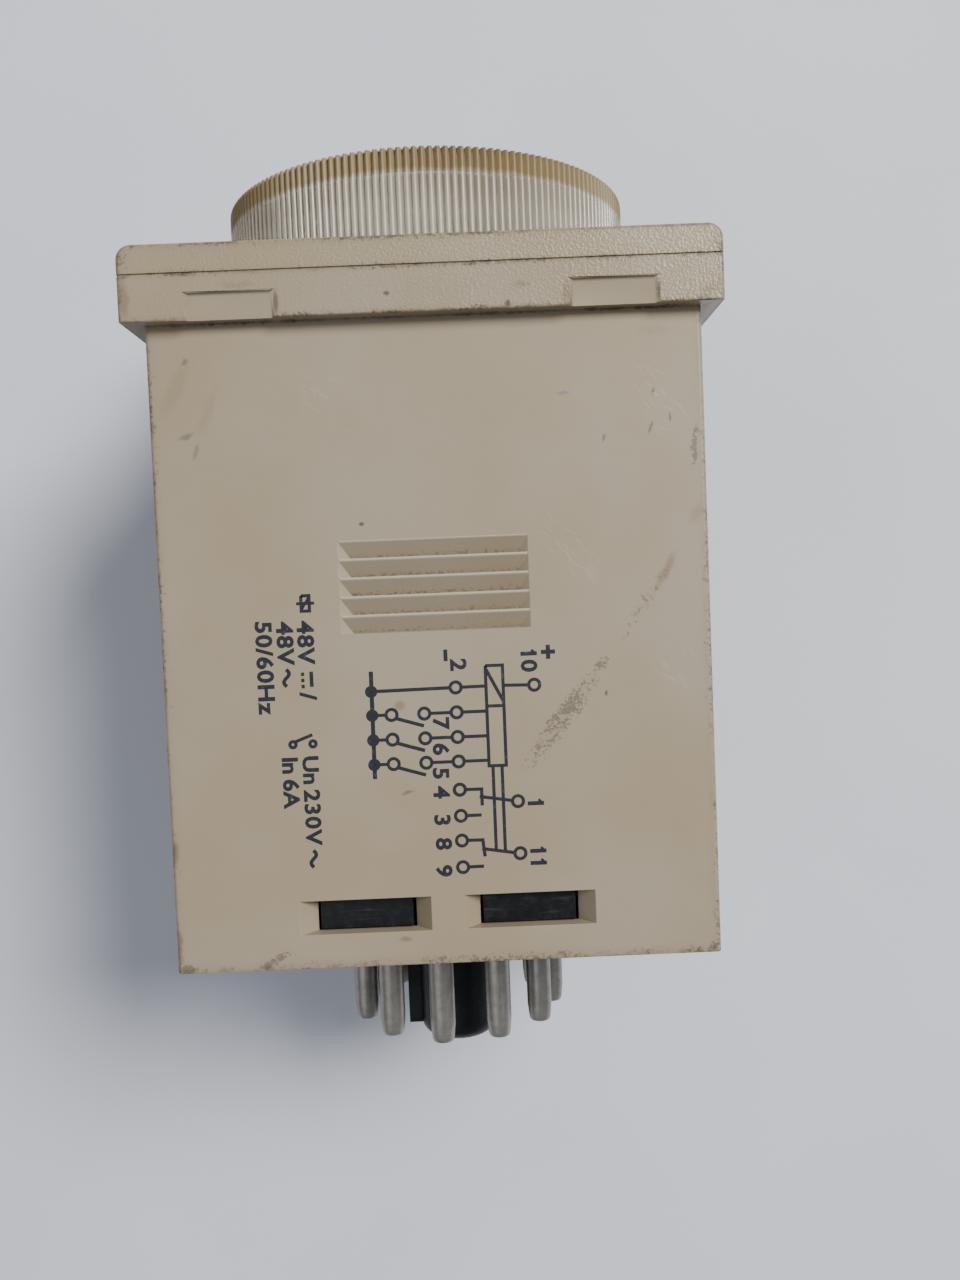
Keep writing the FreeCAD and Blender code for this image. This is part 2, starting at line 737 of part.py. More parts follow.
def make_dial_knob():
    body = new_body("dial_knob")
    disc_rear = dial_front + size.dial_disc
    bore = size.shaft_radius + size.bore_slack
    bore_end = -size.shaft_front - size.bore_slack
    turn_about_y(body, [
        (0, dial_front),
        (size.dial_radius - size.dial_edge, dial_front),
        (size.dial_radius, dial_front + size.dial_edge),
        (size.dial_radius, dial_rear),
        (size.dial_radius - size.dial_skirt, dial_rear),
        (size.dial_radius - size.dial_skirt, disc_rear),
        (size.hub_radius, disc_rear),
        (size.hub_radius, -size.hub_rear),
        (bore, -size.hub_rear),
        (bore, bore_end),
        (0, bore_end),
    ])
    flat = size.shaft_flat + size.bore_slack
    pad_y(body, (bore_end, -size.flat_rear - size.bore_slack), lambda sketch: rectangle(
        sketch, (flat, size.hub_radius - size.dial_skirt), (-size.shaft_radius, size.shaft_radius)))
    valley = size.dial_radius - size.rib_depth
    mouth = math.pi * size.dial_radius / size.rib_count * size.rib_share

    def draw_valley(sketch):
        outline(sketch, [
            (valley, 0),
            (size.dial_radius, mouth),
            (size.dial_radius + PAST, mouth),
            (size.dial_radius + PAST, -mouth),
            (size.dial_radius, -mouth),
        ])

    groove = pocket_y(body, (dial_front - PAST, dial_rear + PAST), draw_valley)
    before = body.Shape.Volume
    ring = body.newObject("PartDesign::PolarPattern", "ribs")
    ring.Originals = [groove]
    ring.Axis = (next(item for item in body.Origin.OriginFeatures if item.Role == "Y_Axis"), [""])
    ring.Angle = 360
    bind(ring, {"Occurrences": size.rib_count})
    body.Tip = ring
    doc.recompute()
    if body.Shape.Volume > before - NEAR:
        raise RuntimeError("the dial's ribs cut nothing")
    node(body, "dial_knob")


def make_dial_pointer():
    rear = dial_front + size.dial_disc + size.pointer_thick
    front = dial_front + size.dial_disc
    ring = rod("y", (front, rear), size.pointer_ring)
    half = size.pointer_width / 2
    arm = box((-size.pointer_reach, 0), (front, rear), (-half, half))
    hub = rod("y", (front - PAST, rear + PAST), size.hub_radius + size.bore_slack)
    pointer = cut(join(ring, arm), hub)
    pointer.Placement.Rotation = FreeCAD.Rotation(FreeCAD.Vector(0, -1, 0), size.dial_sweep.number / 2)
    pointer.setExpression("Placement.Rotation.Angle", "sizes.dial_sweep / 2")
    node(pointer, "dial_pointer")


def make_shaft():
    shaft = rod("y", (-size.shaft_front, -size.shaft_rear), size.shaft_radius)
    wide = size.shaft_radius + PAST
    flat = box((size.shaft_flat, wide), (-size.shaft_front - PAST, -size.flat_rear), (-wide, wide))
    node(cut(shaft, flat), "dial_shaft")


def make_potentiometer():
    board_rear = -size.front_board_rear
    rear = board_rear + size.pot_depth
    inside = size.pot_radius - size.pot_wall
    can = rod("y", (board_rear, rear), size.pot_radius)
    bushing = rod("y", (-size.bushing_front, board_rear), size.bushing_radius)
    hollow = rod("y", (board_rear + size.pot_wall, rear + PAST), inside)
    bore = rod("y", (-size.bushing_front - PAST, rear), size.shaft_radius + size.shaft_slack)
    node(cut(join(can, bushing), hollow, bore), "pot_case")

    flats = doc.addObject("Part::Prism", "hexagon")
    flats.Polygon = 6
    flats.Placement.Rotation = TURN_TO["y"]
    bind(flats, {"Circumradius": size.nut_flats / math.sqrt(3), "Height": size.nut_thick})
    place(flats, 0, front_board_front - size.nut_thick, 0)
    nut_front = front_board_front - size.nut_thick
    thread = rod("y", (nut_front - PAST, front_board_front + PAST), size.bushing_radius)
    node(cut(flats, thread), "pot_nut")

    node(rod("y", (rear - size.track_thick, rear), inside), "pot_track")

    disc = rod("y", (-size.wiper_rear - size.wiper_thick, -size.wiper_rear), size.wiper_radius)
    brush_rear = rear - size.track_thick - size.brush_gap
    brush = box((size.brush_near, size.brush_far), (-size.wiper_rear, brush_rear),
                (-size.brush_half, size.brush_half))
    shaft_hole = rod("y", (-size.wiper_rear - PAST, -size.wiper_rear + PAST), size.shaft_radius)
    node(cut(join(disc, brush), shaft_hole), "pot_wiper")

    legs = []
    half = size.terminal_width / 2
    for step in (-1, 0, 1):
        z = step * size.terminal_pitch
        tab = box((size.pot_radius / 2, size.terminal_reach), (rear, rear + size.terminal_thick),
                  (z - half, z + half))
        leg = box((size.terminal_reach - size.terminal_thick, size.terminal_reach),
                  (board_rear, rear + size.terminal_thick), (z - half, z + half))
        legs.append(join(tab, leg))
    node(group(*legs), "pot_terminals")


# ---- plug base and pins -----------------------------------------------------------


def make_plug_base():
    body = new_body("plug_base")
    pad_y(body, (-size.base_thick, 0), lambda sketch: rectangle(
        sketch, (-size.base_half, size.base_half), (-size.base_half, size.base_half)))
    pad_y(body, (-size.boss_rear, -size.base_thick), lambda sketch: circle(sketch, size.boss_radius))
    post = pad_y(body, (0, size.key_length), lambda sketch: circle(sketch, size.key_radius))

    def post_end(edge):
        beyond_end = size.key_length.number - edge.CenterOfMass.y
        return isinstance(edge.Curve, Part.Circle) and abs(beyond_end) < NEAR

    round_edges(body, post, size.key_round, post_end)
    rib_half = size.key_rib_width / 2
    pad_y(body, (0, size.key_rib_length), lambda sketch: rectangle(
        sketch, (size.key_radius / 2, size.key_rib_reach), (-rib_half, rib_half)))

    def draw_arms(sketch):
        for side in SIDES:
            for wing in SIDES:
                rectangle(sketch, mirrored(size.latch_near, size.latch_far, wing),
                          mirrored(size.base_half - size.latch_thick, size.base_half, side))

    pad_y(body, (-size.latch_front, -size.base_thick), draw_arms)

    def draw_noses(sketch):
        for side in SIDES:
            for wing in SIDES:
                rectangle(sketch, mirrored(size.latch_near, size.latch_far, wing),
                          mirrored(size.base_half - size.latch_thick, size.base_half + size.latch_nose, side))

    pad_y(body, (-size.latch_front, -size.latch_rear), draw_noses)

    def draw_holes(sketch):
        for number in pin_numbers():
            circle(sketch, size.pin_hole, *pin_place(number))

    pocket_y(body, (-size.boss_rear - PAST, PAST), draw_holes)
    node(body, "plug_base")


def make_pins():
    for number in pin_numbers():
        body = new_body("pin")
        turn_about_y(body, [
            (0, -size.tail_front),
            (size.tail_radius, -size.tail_front),
            (size.tail_radius, -size.boss_rear),
            (size.pin_seat, -size.boss_rear),
            (size.pin_seat, 0),
            (size.pin_radius, 0),
            (size.pin_radius, size.pin_length - size.pin_taper),
            (size.pin_tip, size.pin_length),
            (0, size.pin_length),
        ])
        x, z = pin_place(number)
        place(body, x, 0, z)
        node(body, "pin_%02d" % number)


# ---- boards -----------------------------------------------------------------------


def make_boards():
    base = new_body("base_board")

    def draw_base_board(sketch):
        half = size.base_board_half
        rectangle(sketch, (-half, half), (-half, half))
        for number in pin_numbers():
            circle(sketch, size.tail_hole, *pin_place(number))

    rear = -size.base_board_rear
    pad_y(base, (rear - size.board_thick, rear), draw_base_board)
    node(base, "base_board")

    for wing, name in ((-1, "power_board"), (1, "timing_board")):
        node(box(
            mirrored(size.side_board_in, side_board_out, wing),
            (-size.side_board_front, -size.side_board_rear),
            (-size.side_board_half, size.side_board_half),
        ), name)

    front = new_body("front_board")

    def draw_front_board(sketch):
        half = size.front_board_half
        rectangle(sketch, (-half, half), (-half, half))
        circle(sketch, size.bushing_radius + size.slot_slack)

    pad_y(front, (front_board_front, -size.front_board_rear), draw_front_board)
    node(front, "front_board")

    pins = []
    half = size.link_pin / 2
    base_front = rear - size.board_thick
    rows = [
        (base_front - size.link_overlap, base_front),
        (-size.front_board_rear, -size.side_board_front + size.link_overlap),
    ]
    for wing in SIDES:
        x = mirrored(size.side_board_in - size.link_pin, size.side_board_in, wing)
        for y in rows:
            for side in SIDES:
                for step in range(4):
                    z = side * (size.link_first + step * size.link_pitch)
                    pins.append(box(x, y, (z - half, z + half)))
    node(group(*pins), "board_links")


# ---- relay ------------------------------------------------------------------------


def make_relay_shell():
    low = -size.side_board_in
    top = low + size.relay_base_thick
    span = (-(size.relay_rear + size.relay_length), -size.relay_rear)
    half = size.relay_half
    wall = size.relay_wall
    node(box((low, top), span, (-half, half)), "relay_base")
    outer = box((top, size.relay_top), span, (-half, half))
    inside = (span[0] + wall, span[1] - wall)
    inner = box((top - PAST, size.relay_top - wall), inside, (-half + wall, half - wall))
    node(cut(outer, inner), "relay_cover")


def make_relay_coil():
    across = (-size.coil_axis, 0)
    low = -size.yoke_low
    seat = low + size.yoke_thick
    shank = rod("x", (low, size.pole_top), size.core_radius, across)
    pole = rod("x", (size.pole_top - size.pole_thick, size.pole_top), size.pole_radius, across)
    node(join(shank, pole), "coil_core")

    top = size.pole_top - size.pole_thick
    tube = rod("x", (seat, top), size.bobbin_tube, across)
    lower = rod("x", (seat, seat + size.bobbin_thick), size.bobbin_flange, across)
    upper = rod("x", (top - size.bobbin_thick, top), size.bobbin_flange, across)
    hole = rod("x", (seat - PAST, top + PAST), size.core_radius, across)
    node(cut(join(tube, lower, upper), hole), "coil_bobbin")

    wound = (seat + size.bobbin_thick, top - size.bobbin_thick)
    wire = rod("x", wound, size.winding_radius, across)
    inside = rod("x", (wound[0] - PAST, wound[1] + PAST), size.bobbin_tube, across)
    node(cut(wire, inside), "coil_winding")

    half = size.yoke_half
    front = -size.yoke_front
    foot = box((low, seat), (front, -size.armature_rear), (-half, half))
    wall = box((low, size.yoke_top), (front, front + size.yoke_thick), (-half, half))
    core_hole = rod("x", (low - PAST, seat + PAST), size.core_radius, across)
    node(cut(join(foot, wall), core_hole), "relay_yoke")


def make_armature():
    """An L-shaped plate, drawn closed and then turned open about its pivot."""
    low = size.pole_top + size.armature_gap
    half = size.armature_half
    plate = box((low, low + size.armature_thick), (-(size.leg_inner + size.leg_thick), -size.armature_rear),
                (-half, half))
    leg = box((-size.leg_low, low), (-(size.leg_inner + size.leg_thick), -size.leg_inner), (-half, half))
    closed = join(plate, leg)
    angle = math.radians(size.armature_open.number)
    pivot_y = -size.armature_pivot
    closed.Placement.Rotation = FreeCAD.Rotation(FreeCAD.Vector(0, 0, -1), size.armature_open.number)
    closed.setExpression("Placement.Rotation.Angle", "sizes.armature_open")
    place(
        closed,
        low * (1 - math.cos(angle)) - pivot_y * math.sin(angle),
        pivot_y * (1 - math.cos(angle)) + low * math.sin(angle),
        0,
    )
    node(closed, "relay_armature")


def make_card():
    x = (-size.card_low, -size.card_high)
    stem = box(x, (-size.card_front, -size.card_rear), (-size.card_stem, size.card_stem))
    head = box(x, (-size.card_front, -(size.card_front - size.card_thick)), (-size.card_head, size.card_head))
    node(join(stem, head), "relay_card")


def blade_pair(rear, thick, rivets):
    """Two blades side by side, each with its rivets, given as (front, rear) spans."""
    blades = []
    for side in SIDES:
        middle = side * size.blade_offset
        half = size.blade_width / 2
        strip = box((-size.blade_low, size.blade_high), (-(rear + thick), -rear),
                    (middle - half, middle + half))
        heads = [rod("y", span, size.rivet_radius, (size.rivet_centre, middle)) for span in rivets]
        blades.append(join(strip, *heads))
    return group(*blades)


def make_contacts():
    break_face = size.break_rear + size.fixed_thick
    make_face = size.make_rear
    moving_face = size.moving_rear + size.moving_thick
    node(blade_pair(size.break_rear, size.fixed_thick, [
        (-(break_face + size.rivet_height), -break_face),
    ]), "relay_break_blades")
    node(blade_pair(size.make_rear, size.fixed_thick, [
        (-make_face, -(make_face - size.rivet_height)),
    ]), "relay_make_blades")
    touch = break_face + size.rivet_height + size.contact_gap
    node(blade_pair(size.moving_rear, size.moving_thick, [
        (-size.moving_rear, -touch),
        (-(moving_face + size.rivet_front), -moving_face),
    ]), "relay_moving_blades")


# ---- board components -------------------------------------------------------------


def make_power_parts():
    board = -size.side_board_in
    row = size.part_row
    half = size.film_width / 2
    node(box((board, board + size.film_height), (-(size.film_rear + size.film_length), -size.film_rear),
             (row - half, row + half)), "film_capacitor")
    node(rod("x", (board, board + size.can_height), size.can_radius, (-size.can_rear, row)),
         "smoothing_capacitor")
    centre = board + size.varistor_radius + size.varistor_lift
    node(rod("y", (-(size.varistor_rear + size.varistor_thick), -size.varistor_rear),
             size.varistor_radius, (centre, -row)), "surge_varistor")
    node(rod("y", (-(size.surge_rear + size.surge_length), -size.surge_rear),
             size.surge_radius, (board + size.surge_radius, -row)), "surge_resistor")
    lift = board + size.diode_radius
    diodes = []
    for step in range(4):
        y = -(size.diode_rear + step * size.diode_pitch)
        diodes.append(rod("z", (-row - size.diode_length / 2, -row + size.diode_length / 2),
                          size.diode_radius, (lift, y)))
    node(group(*diodes), "rectifier_diodes")


def make_timing_parts():
    board = size.side_board_in
    row = size.part_row
    under = board - size.chip_lift
    front = -(size.chip_rear + size.chip_length)
    half = size.chip_half
    node(box((under - size.chip_height, under), (front, -size.chip_rear), (-half, half)), "timer_chip")
    legs = []
    for side in SIDES:
        for step in range(7):
            y = front + size.chip_length / 2 + (step - 3) * size.link_pitch
            legs.append(box(
                (under - size.chip_height / 2, board),
                (y - size.chip_leg_width / 2, y + size.chip_leg_width / 2),
                mirrored(half, half + size.chip_leg_thick, side),
            ))
    node(group(*legs), "timer_chip_legs")

    resistors = []
    for step in range(6):
        y = -(size.resistor_rear + step * size.resistor_pitch)
        resistors.append(rod("z", (row - size.resistor_length / 2, row + size.resistor_length / 2),
                             size.resistor_radius, (board - size.resistor_radius, y)))
    node(group(*resistors), "timing_resistors")

    discs = []
    for step in range(4):
        y = -(size.disc_rear + step * size.disc_pitch)
        discs.append(rod("y", (y - size.disc_thick, y), size.disc_radius, (board - size.disc_radius, -row)))
    node(group(*discs), "ceramic_capacitors")

    across = (-size.transistor_rear, row)
    barrel = rod("x", (board - size.transistor_height, board), size.transistor_radius, across)
    wide = size.transistor_radius + PAST
    y = -size.transistor_rear + size.transistor_radius / 2
    flat = box((board - size.transistor_height - PAST, board + PAST), (y, y + wide), (row - wide, row + wide))
    node(cut(barrel, flat), "driver_transistor")


make_housing()
make_front_frame()
make_front_panel()
make_scale_plate()
make_lamps()
make_selectors()
make_dial_knob()
make_dial_pointer()
make_shaft()
make_potentiometer()
make_plug_base()
make_pins()
make_boards()
make_relay_shell()
make_relay_coil()
make_armature()
make_card()
make_contacts()
make_power_parts()
make_timing_parts()
doc.recompute()

for item in doc.Objects:
    if "Invalid" in item.State or "Error" in item.State:
        raise RuntimeError("%s (%s) failed: %s" % (item.Name, item.Label, item.State))
for item in nodes:
    if item.Shape.isNull() or not item.Shape.isValid():
        raise RuntimeError(item.Label + " has no valid shape")

os.makedirs("parts", exist_ok=True)
for item in nodes:
    item.Shape.exportStep("parts/%s.step" % item.Label)
    print("%-24s %3d solid(s) %10.2f mm3" % (item.Label, len(item.Shape.Solids), item.Shape.Volume))
print(len(nodes), "nodes")
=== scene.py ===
import json
import math

import bmesh
import bpy
from mathutils import Matrix, Vector


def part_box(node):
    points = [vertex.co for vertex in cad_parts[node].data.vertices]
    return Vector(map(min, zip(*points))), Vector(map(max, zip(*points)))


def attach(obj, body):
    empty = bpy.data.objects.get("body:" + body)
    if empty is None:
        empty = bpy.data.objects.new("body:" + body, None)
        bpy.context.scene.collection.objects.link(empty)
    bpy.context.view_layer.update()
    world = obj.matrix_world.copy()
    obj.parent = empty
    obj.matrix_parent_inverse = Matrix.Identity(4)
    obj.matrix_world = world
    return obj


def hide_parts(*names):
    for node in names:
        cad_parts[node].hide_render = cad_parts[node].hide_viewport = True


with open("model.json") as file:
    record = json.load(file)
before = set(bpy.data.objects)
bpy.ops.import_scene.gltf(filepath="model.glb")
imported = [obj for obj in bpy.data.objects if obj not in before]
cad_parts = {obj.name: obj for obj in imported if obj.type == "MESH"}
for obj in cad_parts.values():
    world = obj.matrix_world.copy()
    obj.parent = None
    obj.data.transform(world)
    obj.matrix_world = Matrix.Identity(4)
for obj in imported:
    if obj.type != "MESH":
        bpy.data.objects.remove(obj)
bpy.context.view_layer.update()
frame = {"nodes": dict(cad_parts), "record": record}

# Plug-in panel timer. +Y leaves the case along the pins, the dial faces -Y, +Z is the printed side.
# The scene is in metres. The object's sizes are written in millimetres and multiplied by MM.
MM = 0.001

# planes of the object, in millimetres
CASE_SIDE = 22.4  # case walls, from the middle
CASE_FRONT = -52.7  # where the case meets the back of its flange
SEAM = -56.3  # between the flange and the front frame
BEZEL_SIDE = 24.0  # flange and front frame, from the middle
BEZEL_FRONT = -58.8
DIAL_FRONT = -67.5
DIAL_RADIUS = 19.2
CORNER_OFFSET = 16.9  # lamps and selectors, from the middle both ways
PLATE_FRONT = -56.9  # face of the scale plate
DIAL_SWEEP = 280.0  # travel of the dial, degrees

# print
PRINT_LOW = CASE_SIDE - 0.01
PRINT_HIGH = CASE_SIDE + 0.015
PRINT_STEP = 0.0015  # one stroke above the next, so that crossing strokes share no face
PRINT_STEPS = 15
RING = 0.45  # radius of a terminal's ring in the diagram
LINE = 0.26  # width of a plain line
CAPITAL_SHARE = 0.729  # height of a capital in the font, per unit of size
LETTER_STRETCH = 1.12
LETTER_WEIGHT = 0.045  # outward offset of a letter's outline, per unit of height
READS_DOWN = Matrix.Rotation(math.pi / 2, 4, "Z")


# ---- materials --------------------------------------------------------------------


class Look:
    """A node material: each method adds a node and returns its output socket."""

    def __init__(self, name, **constants):
        self.material = bpy.data.materials.new(name)
        self.material.use_nodes = True
        self.tree = self.material.node_tree
        self.shader = self.tree.nodes["Principled BSDF"]
        self.place = self.tree.nodes.new("ShaderNodeTexCoord").outputs["Object"]
        self.set(**constants)

    def set(self, **values):
        """Principled inputs by name, with underscores for spaces: sockets are linked, the rest is set."""
        for name, value in values.items():
            socket = self.shader.inputs[name.replace("_", " ")]
            if isinstance(value, bpy.types.NodeSocket):
                self.tree.links.new(value, socket)
            else:
                socket.default_value = (*value, 1) if isinstance(value, tuple) else value

    def node(self, kind, inputs=(), output=0, **settings):
        made = self.tree.nodes.new(kind)
        for name, value in settings.items():
            setattr(made, name, value)
        for index, value in dict(inputs).items():
            if isinstance(value, bpy.types.NodeSocket):
                self.tree.links.new(value, made.inputs[index])
            elif isinstance(value, tuple) and len(made.inputs[index].default_value) == 4:
                made.inputs[index].default_value = (*value, 1)
            else:
                made.inputs[index].default_value = value
        return made.outputs[output]

    def math(self, operation, a, b=0.0, c=0.0, clamp=False):
        return self.node("ShaderNodeMath", {0: a, 1: b, 2: c}, operation=operation, use_clamp=clamp)

    def product(self, first, *others):
        """All of the values multiplied."""
        for other in others:
            first = self.math("MULTIPLY", first, other)
        return first

    def strongest(self, first, *others):
        """The highest of the values."""
        for other in others:
            first = self.math("MAXIMUM", first, other)
        return first

    def distance(self, a, b):
        """Length of the hypotenuse over a and b."""
        return self.math("SQRT", self.math("ADD", self.math("POWER", a, 2.0), self.math("POWER", b, 2.0)))

    def axis(self, letter):
        return self.node("ShaderNodeSeparateXYZ", {0: self.place}, output="XYZ".index(letter))

    def noise(self, size, detail=3.0, roughness=0.5, stretch=(1, 1, 1)):
        """Smooth noise whose lumps are about `size` metres."""
        place = self.node("ShaderNodeMapping", {0: self.place, 3: stretch})
        return self.node("ShaderNodeTexNoise", {
            "Vector": place, "Scale": 1 / size, "Detail": detail, "Roughness": roughness})

    def specks(self, pitch, radius, share):
        """Round dots, one to a cell of `pitch`, of which `share` are kept."""
        cell = self.node("ShaderNodeTexVoronoi", {"Vector": self.place, "Scale": 1 / pitch})
        distance = cell.node.outputs["Distance"]
        lot = self.node("ShaderNodeSeparateColor", {0: cell.node.outputs["Color"]})
        size = self.math("MULTIPLY", lot.node.outputs[1], radius / pitch)
        return self.product(self.band(distance, size, 0.0), self.math("LESS_THAN", lot, share))

    def warped(self, amount, size):
        """Object coordinates pushed about by up to `amount` metres, for patches with ragged borders."""
        push = self.node("ShaderNodeTexNoise", {
            "Vector": self.place, "Scale": 1 / size, "Detail": 3.0}, output=1)
        centred = self.node("ShaderNodeVectorMath", {0: push, 1: (0.5, 0.5, 0.5)}, operation="SUBTRACT")
        scaled = self.node("ShaderNodeVectorMath", {0: centred, "Scale": 2 * amount}, operation="SCALE")
        return self.node("ShaderNodeVectorMath", {0: self.place, 1: scaled}, operation="ADD")

    def patches(self, place, height, spots):
        """The strongest of several oval marks at z = height, lying along X, Y.

        spots are (x, y, half length, half width, turn in degrees, strength), in millimetres.
        """
        reach = 0.6  # how far above and below its plane a mark still shows
        marks = []
        for x, y, long, wide, turn, strength in spots:
            local = self.node("ShaderNodeMapping", {
                0: place, 1: (x * MM, y * MM, height * MM), 2: (0.0, 0.0, math.radians(turn)),
                3: (long * MM, wide * MM, reach * MM)}, vector_type="TEXTURE")
            away = self.node("ShaderNodeVectorMath", {0: local}, output=1, operation="LENGTH")
            marks.append(self.product(self.band(away, 1.0, 0.3), strength))
        return self.strongest(*marks)

    def streaks(self, width, stretch, turn):
        """Noise drawn out along one direction of the X, Y plane, `stretch` times its width."""
        local = self.node("ShaderNodeMapping", {
            0: self.place, 2: (0.0, 0.0, math.radians(turn)), 3: (stretch, 1.0, 1.0)},
            vector_type="TEXTURE")
        return self.node("ShaderNodeTexNoise", {"Vector": local, "Scale": 1 / width, "Detail": 1.0})

    def band(self, value, at_zero, at_one):
        """0 to 1 as `value` goes from at_zero to at_one, smoothly."""
        return self.node("ShaderNodeMapRange", {0: value, 1: at_zero, 2: at_one, 3: 0.0, 4: 1.0},
                         interpolation_type="SMOOTHSTEP")

    def mix(self, amount, a, b):
        """From colour a at 0 to colour b at 1."""
        return self.node("ShaderNodeMix", {0: amount, 6: a, 7: b}, output=2, data_type="RGBA")

    def bump(self, height, depth, normal=None):
        """Surface relief of `depth` metres where height is 1, laid over the relief in `normal`."""
        inputs = {"Height": height, "Distance": depth, "Strength": 1.0}
        if normal is not None:
            inputs["Normal"] = normal
        return self.node("ShaderNodeBump", inputs)


# ---- mesh helpers -----------------------------------------------------------------


def make_piece(name, vertices, faces, smooth_angle=None):
    """A mesh object from vertices in millimetres; edges sharper than smooth_angle stay sharp."""
    mesh = bpy.data.meshes.new(name)
    mesh.from_pydata([Vector(v) * MM for v in vertices], [], faces)
    return finish_piece(name, mesh, smooth_angle)


def finish_piece(name, mesh, smooth_angle=None):
    """Put a mesh in the scene with its faces turned outwards."""
    tidy = bmesh.new()
    tidy.from_mesh(mesh)
    bmesh.ops.recalc_face_normals(tidy, faces=tidy.faces)
    tidy.to_mesh(mesh)
    tidy.free()
    item = bpy.data.objects.new(name, mesh)
    bpy.context.scene.collection.objects.link(item)
    if smooth_angle is not None:
        mesh.shade_smooth()
        mesh.set_sharp_from_angle(angle=math.radians(smooth_angle))
    return item


def lathe(name, profile, steps, reach=None, centre=(0, 0), smooth_angle=35):
    """Turn (radius, y) points about the Y axis. The profile runs from axis to axis.

    `reach(index, angle)` can shorten the radius of a profile point at an angle.
    """
    vertices = [(centre[0], profile[0][1], centre[1])]
    middle = profile[1:-1]
    for index, (radius, y) in enumerate(middle):
        for step in range(steps):
            angle = 2 * math.pi * step / steps
            r = min(radius, reach(index, angle)) if reach else radius
            vertices.append((centre[0] + r * math.cos(angle), y, centre[1] + r * math.sin(angle)))
    vertices.append((centre[0], profile[-1][1], centre[1]))
    last = len(vertices) - 1
    faces = []
    for step in range(steps):
        after = (step + 1) % steps
        faces.append((0, 1 + after, 1 + step))
        for ring in range(len(middle) - 1):
            low = 1 + ring * steps
            faces.append((low + step, low + after, low + steps + after, low + steps + step))
        low = 1 + (len(middle) - 1) * steps
        faces.append((low + step, low + after, last))
    return make_piece(name, vertices, faces, smooth_angle)


def softened(node, name, steps, quartered=False):
    """A copy of a CAD node with its sharp edges rounded. steps are (width, test) pairs, in millimetres.

    An edge is rounded if it turns by more than `crease` degrees and both of its ends pass the test.
    A quartered piece has its flat faces cut along two middle planes, so that none is a closed ring.
    """
    crease, smooth_angle = 25, 33
    work = bmesh.new()
    work.from_mesh(frame["nodes"][node].data)
    bmesh.ops.remove_doubles(work, verts=work.verts, dist=0.0005 * MM)
    bmesh.ops.dissolve_limit(work, angle_limit=math.radians(0.5), verts=work.verts, edges=work.edges)
    for normal in ((1, 0, 0), (0, 0, 1)) if quartered else ():
        everything = work.verts[:] + work.edges[:] + work.faces[:]
        bmesh.ops.bisect_plane(work, geom=everything, dist=0.001 * MM, plane_co=(0, 0, 0), plane_no=normal)
    for width, wanted in steps:
        chosen = [
            edge for edge in work.edges
            if edge.is_manifold and edge.calc_face_angle(0) > math.radians(crease)
            and all(wanted(vertex.co / MM) for vertex in edge.verts)
        ]
        bmesh.ops.bevel(work, geom=chosen, offset=width * MM, offset_type="OFFSET", segments=2,
                        profile=0.5, affect="EDGES", clamp_overlap=True)
    mesh = bpy.data.meshes.new(name)
    work.to_mesh(mesh)
    work.free()
    item = finish_piece(name, mesh, smooth_angle)
    normals = item.modifiers.new("flat_faces", "WEIGHTED_NORMAL")
    normals.keep_sharp = True
    normals.weight = 100
    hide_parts(node)
    return item


def span(point):
    """Half side of the square round the Y axis that passes through a point."""
    return max(abs(point.x), abs(point.z))


def bars(name, strokes, low, high, place):
    """Flat closed strips, for print: strokes are (points, width) in a plane, in millimetres.

    `place` turns (u, v, height) in that plane into a point of the object.
    """
    vertices, faces = [], []
    for index, (points, width) in enumerate(strokes):
        left, right = sides_of(points, width)
        first = len(vertices)
        count = len(points)
        for height in (low, high + PRINT_STEP * (index % PRINT_STEPS)):
            vertices += [place(u, v, height) for u, v in left + right]
        rows = [first + n for n in range(4 * count)]
        bottom_left, bottom_right, top_left, top_right = (
            rows[n * count:(n + 1) * count] for n in range(4))
        for n in range(count - 1):
            faces += [
                (top_left[n], top_left[n + 1], top_right[n + 1], top_right[n]),
                (bottom_left[n], bottom_right[n], bottom_right[n + 1], bottom_left[n + 1]),
                (bottom_left[n], bottom_left[n + 1], top_left[n + 1], top_left[n]),
                (bottom_right[n], top_right[n], top_right[n + 1], bottom_right[n + 1]),
            ]
        for n in (0, count - 1):
            faces.append((bottom_left[n], top_left[n], top_right[n], bottom_right[n]))
    return make_piece(name, vertices, faces)


def sides_of(points, width):
    """The two borders of a strip along a line of points, mitred at its corners."""
    left, right = [], []
    for n, (u, v) in enumerate(points):
        before = points[max(n - 1, 0)]
        after = points[min(n + 1, len(points) - 1)]
        first = Vector((u - before[0], v - before[1])) if n else Vector((after[0] - u, after[1] - v))
        last = Vector((after[0] - u, after[1] - v)) if n < len(points) - 1 else first
        normals = [Vector((-way.y, way.x)).normalized() for way in (first, last)]
        middle = (normals[0] + normals[1]).normalized()
        half = width / 2 / max(middle.dot(normals[0]), 0.4)
        left.append((u + middle.x * half, v + middle.y * half))
        right.append((u - middle.x * half, v - middle.y * half))
    return left, right


def ring_points(centre, radius, steps=28):
    """A closed round line; its last point falls on its first."""
    points = []
    for step in range(steps + 1):
        angle = math.radians(360 * step / steps)
        points.append((centre[0] + radius * math.cos(angle), centre[1] + radius * math.sin(angle)))
    return points


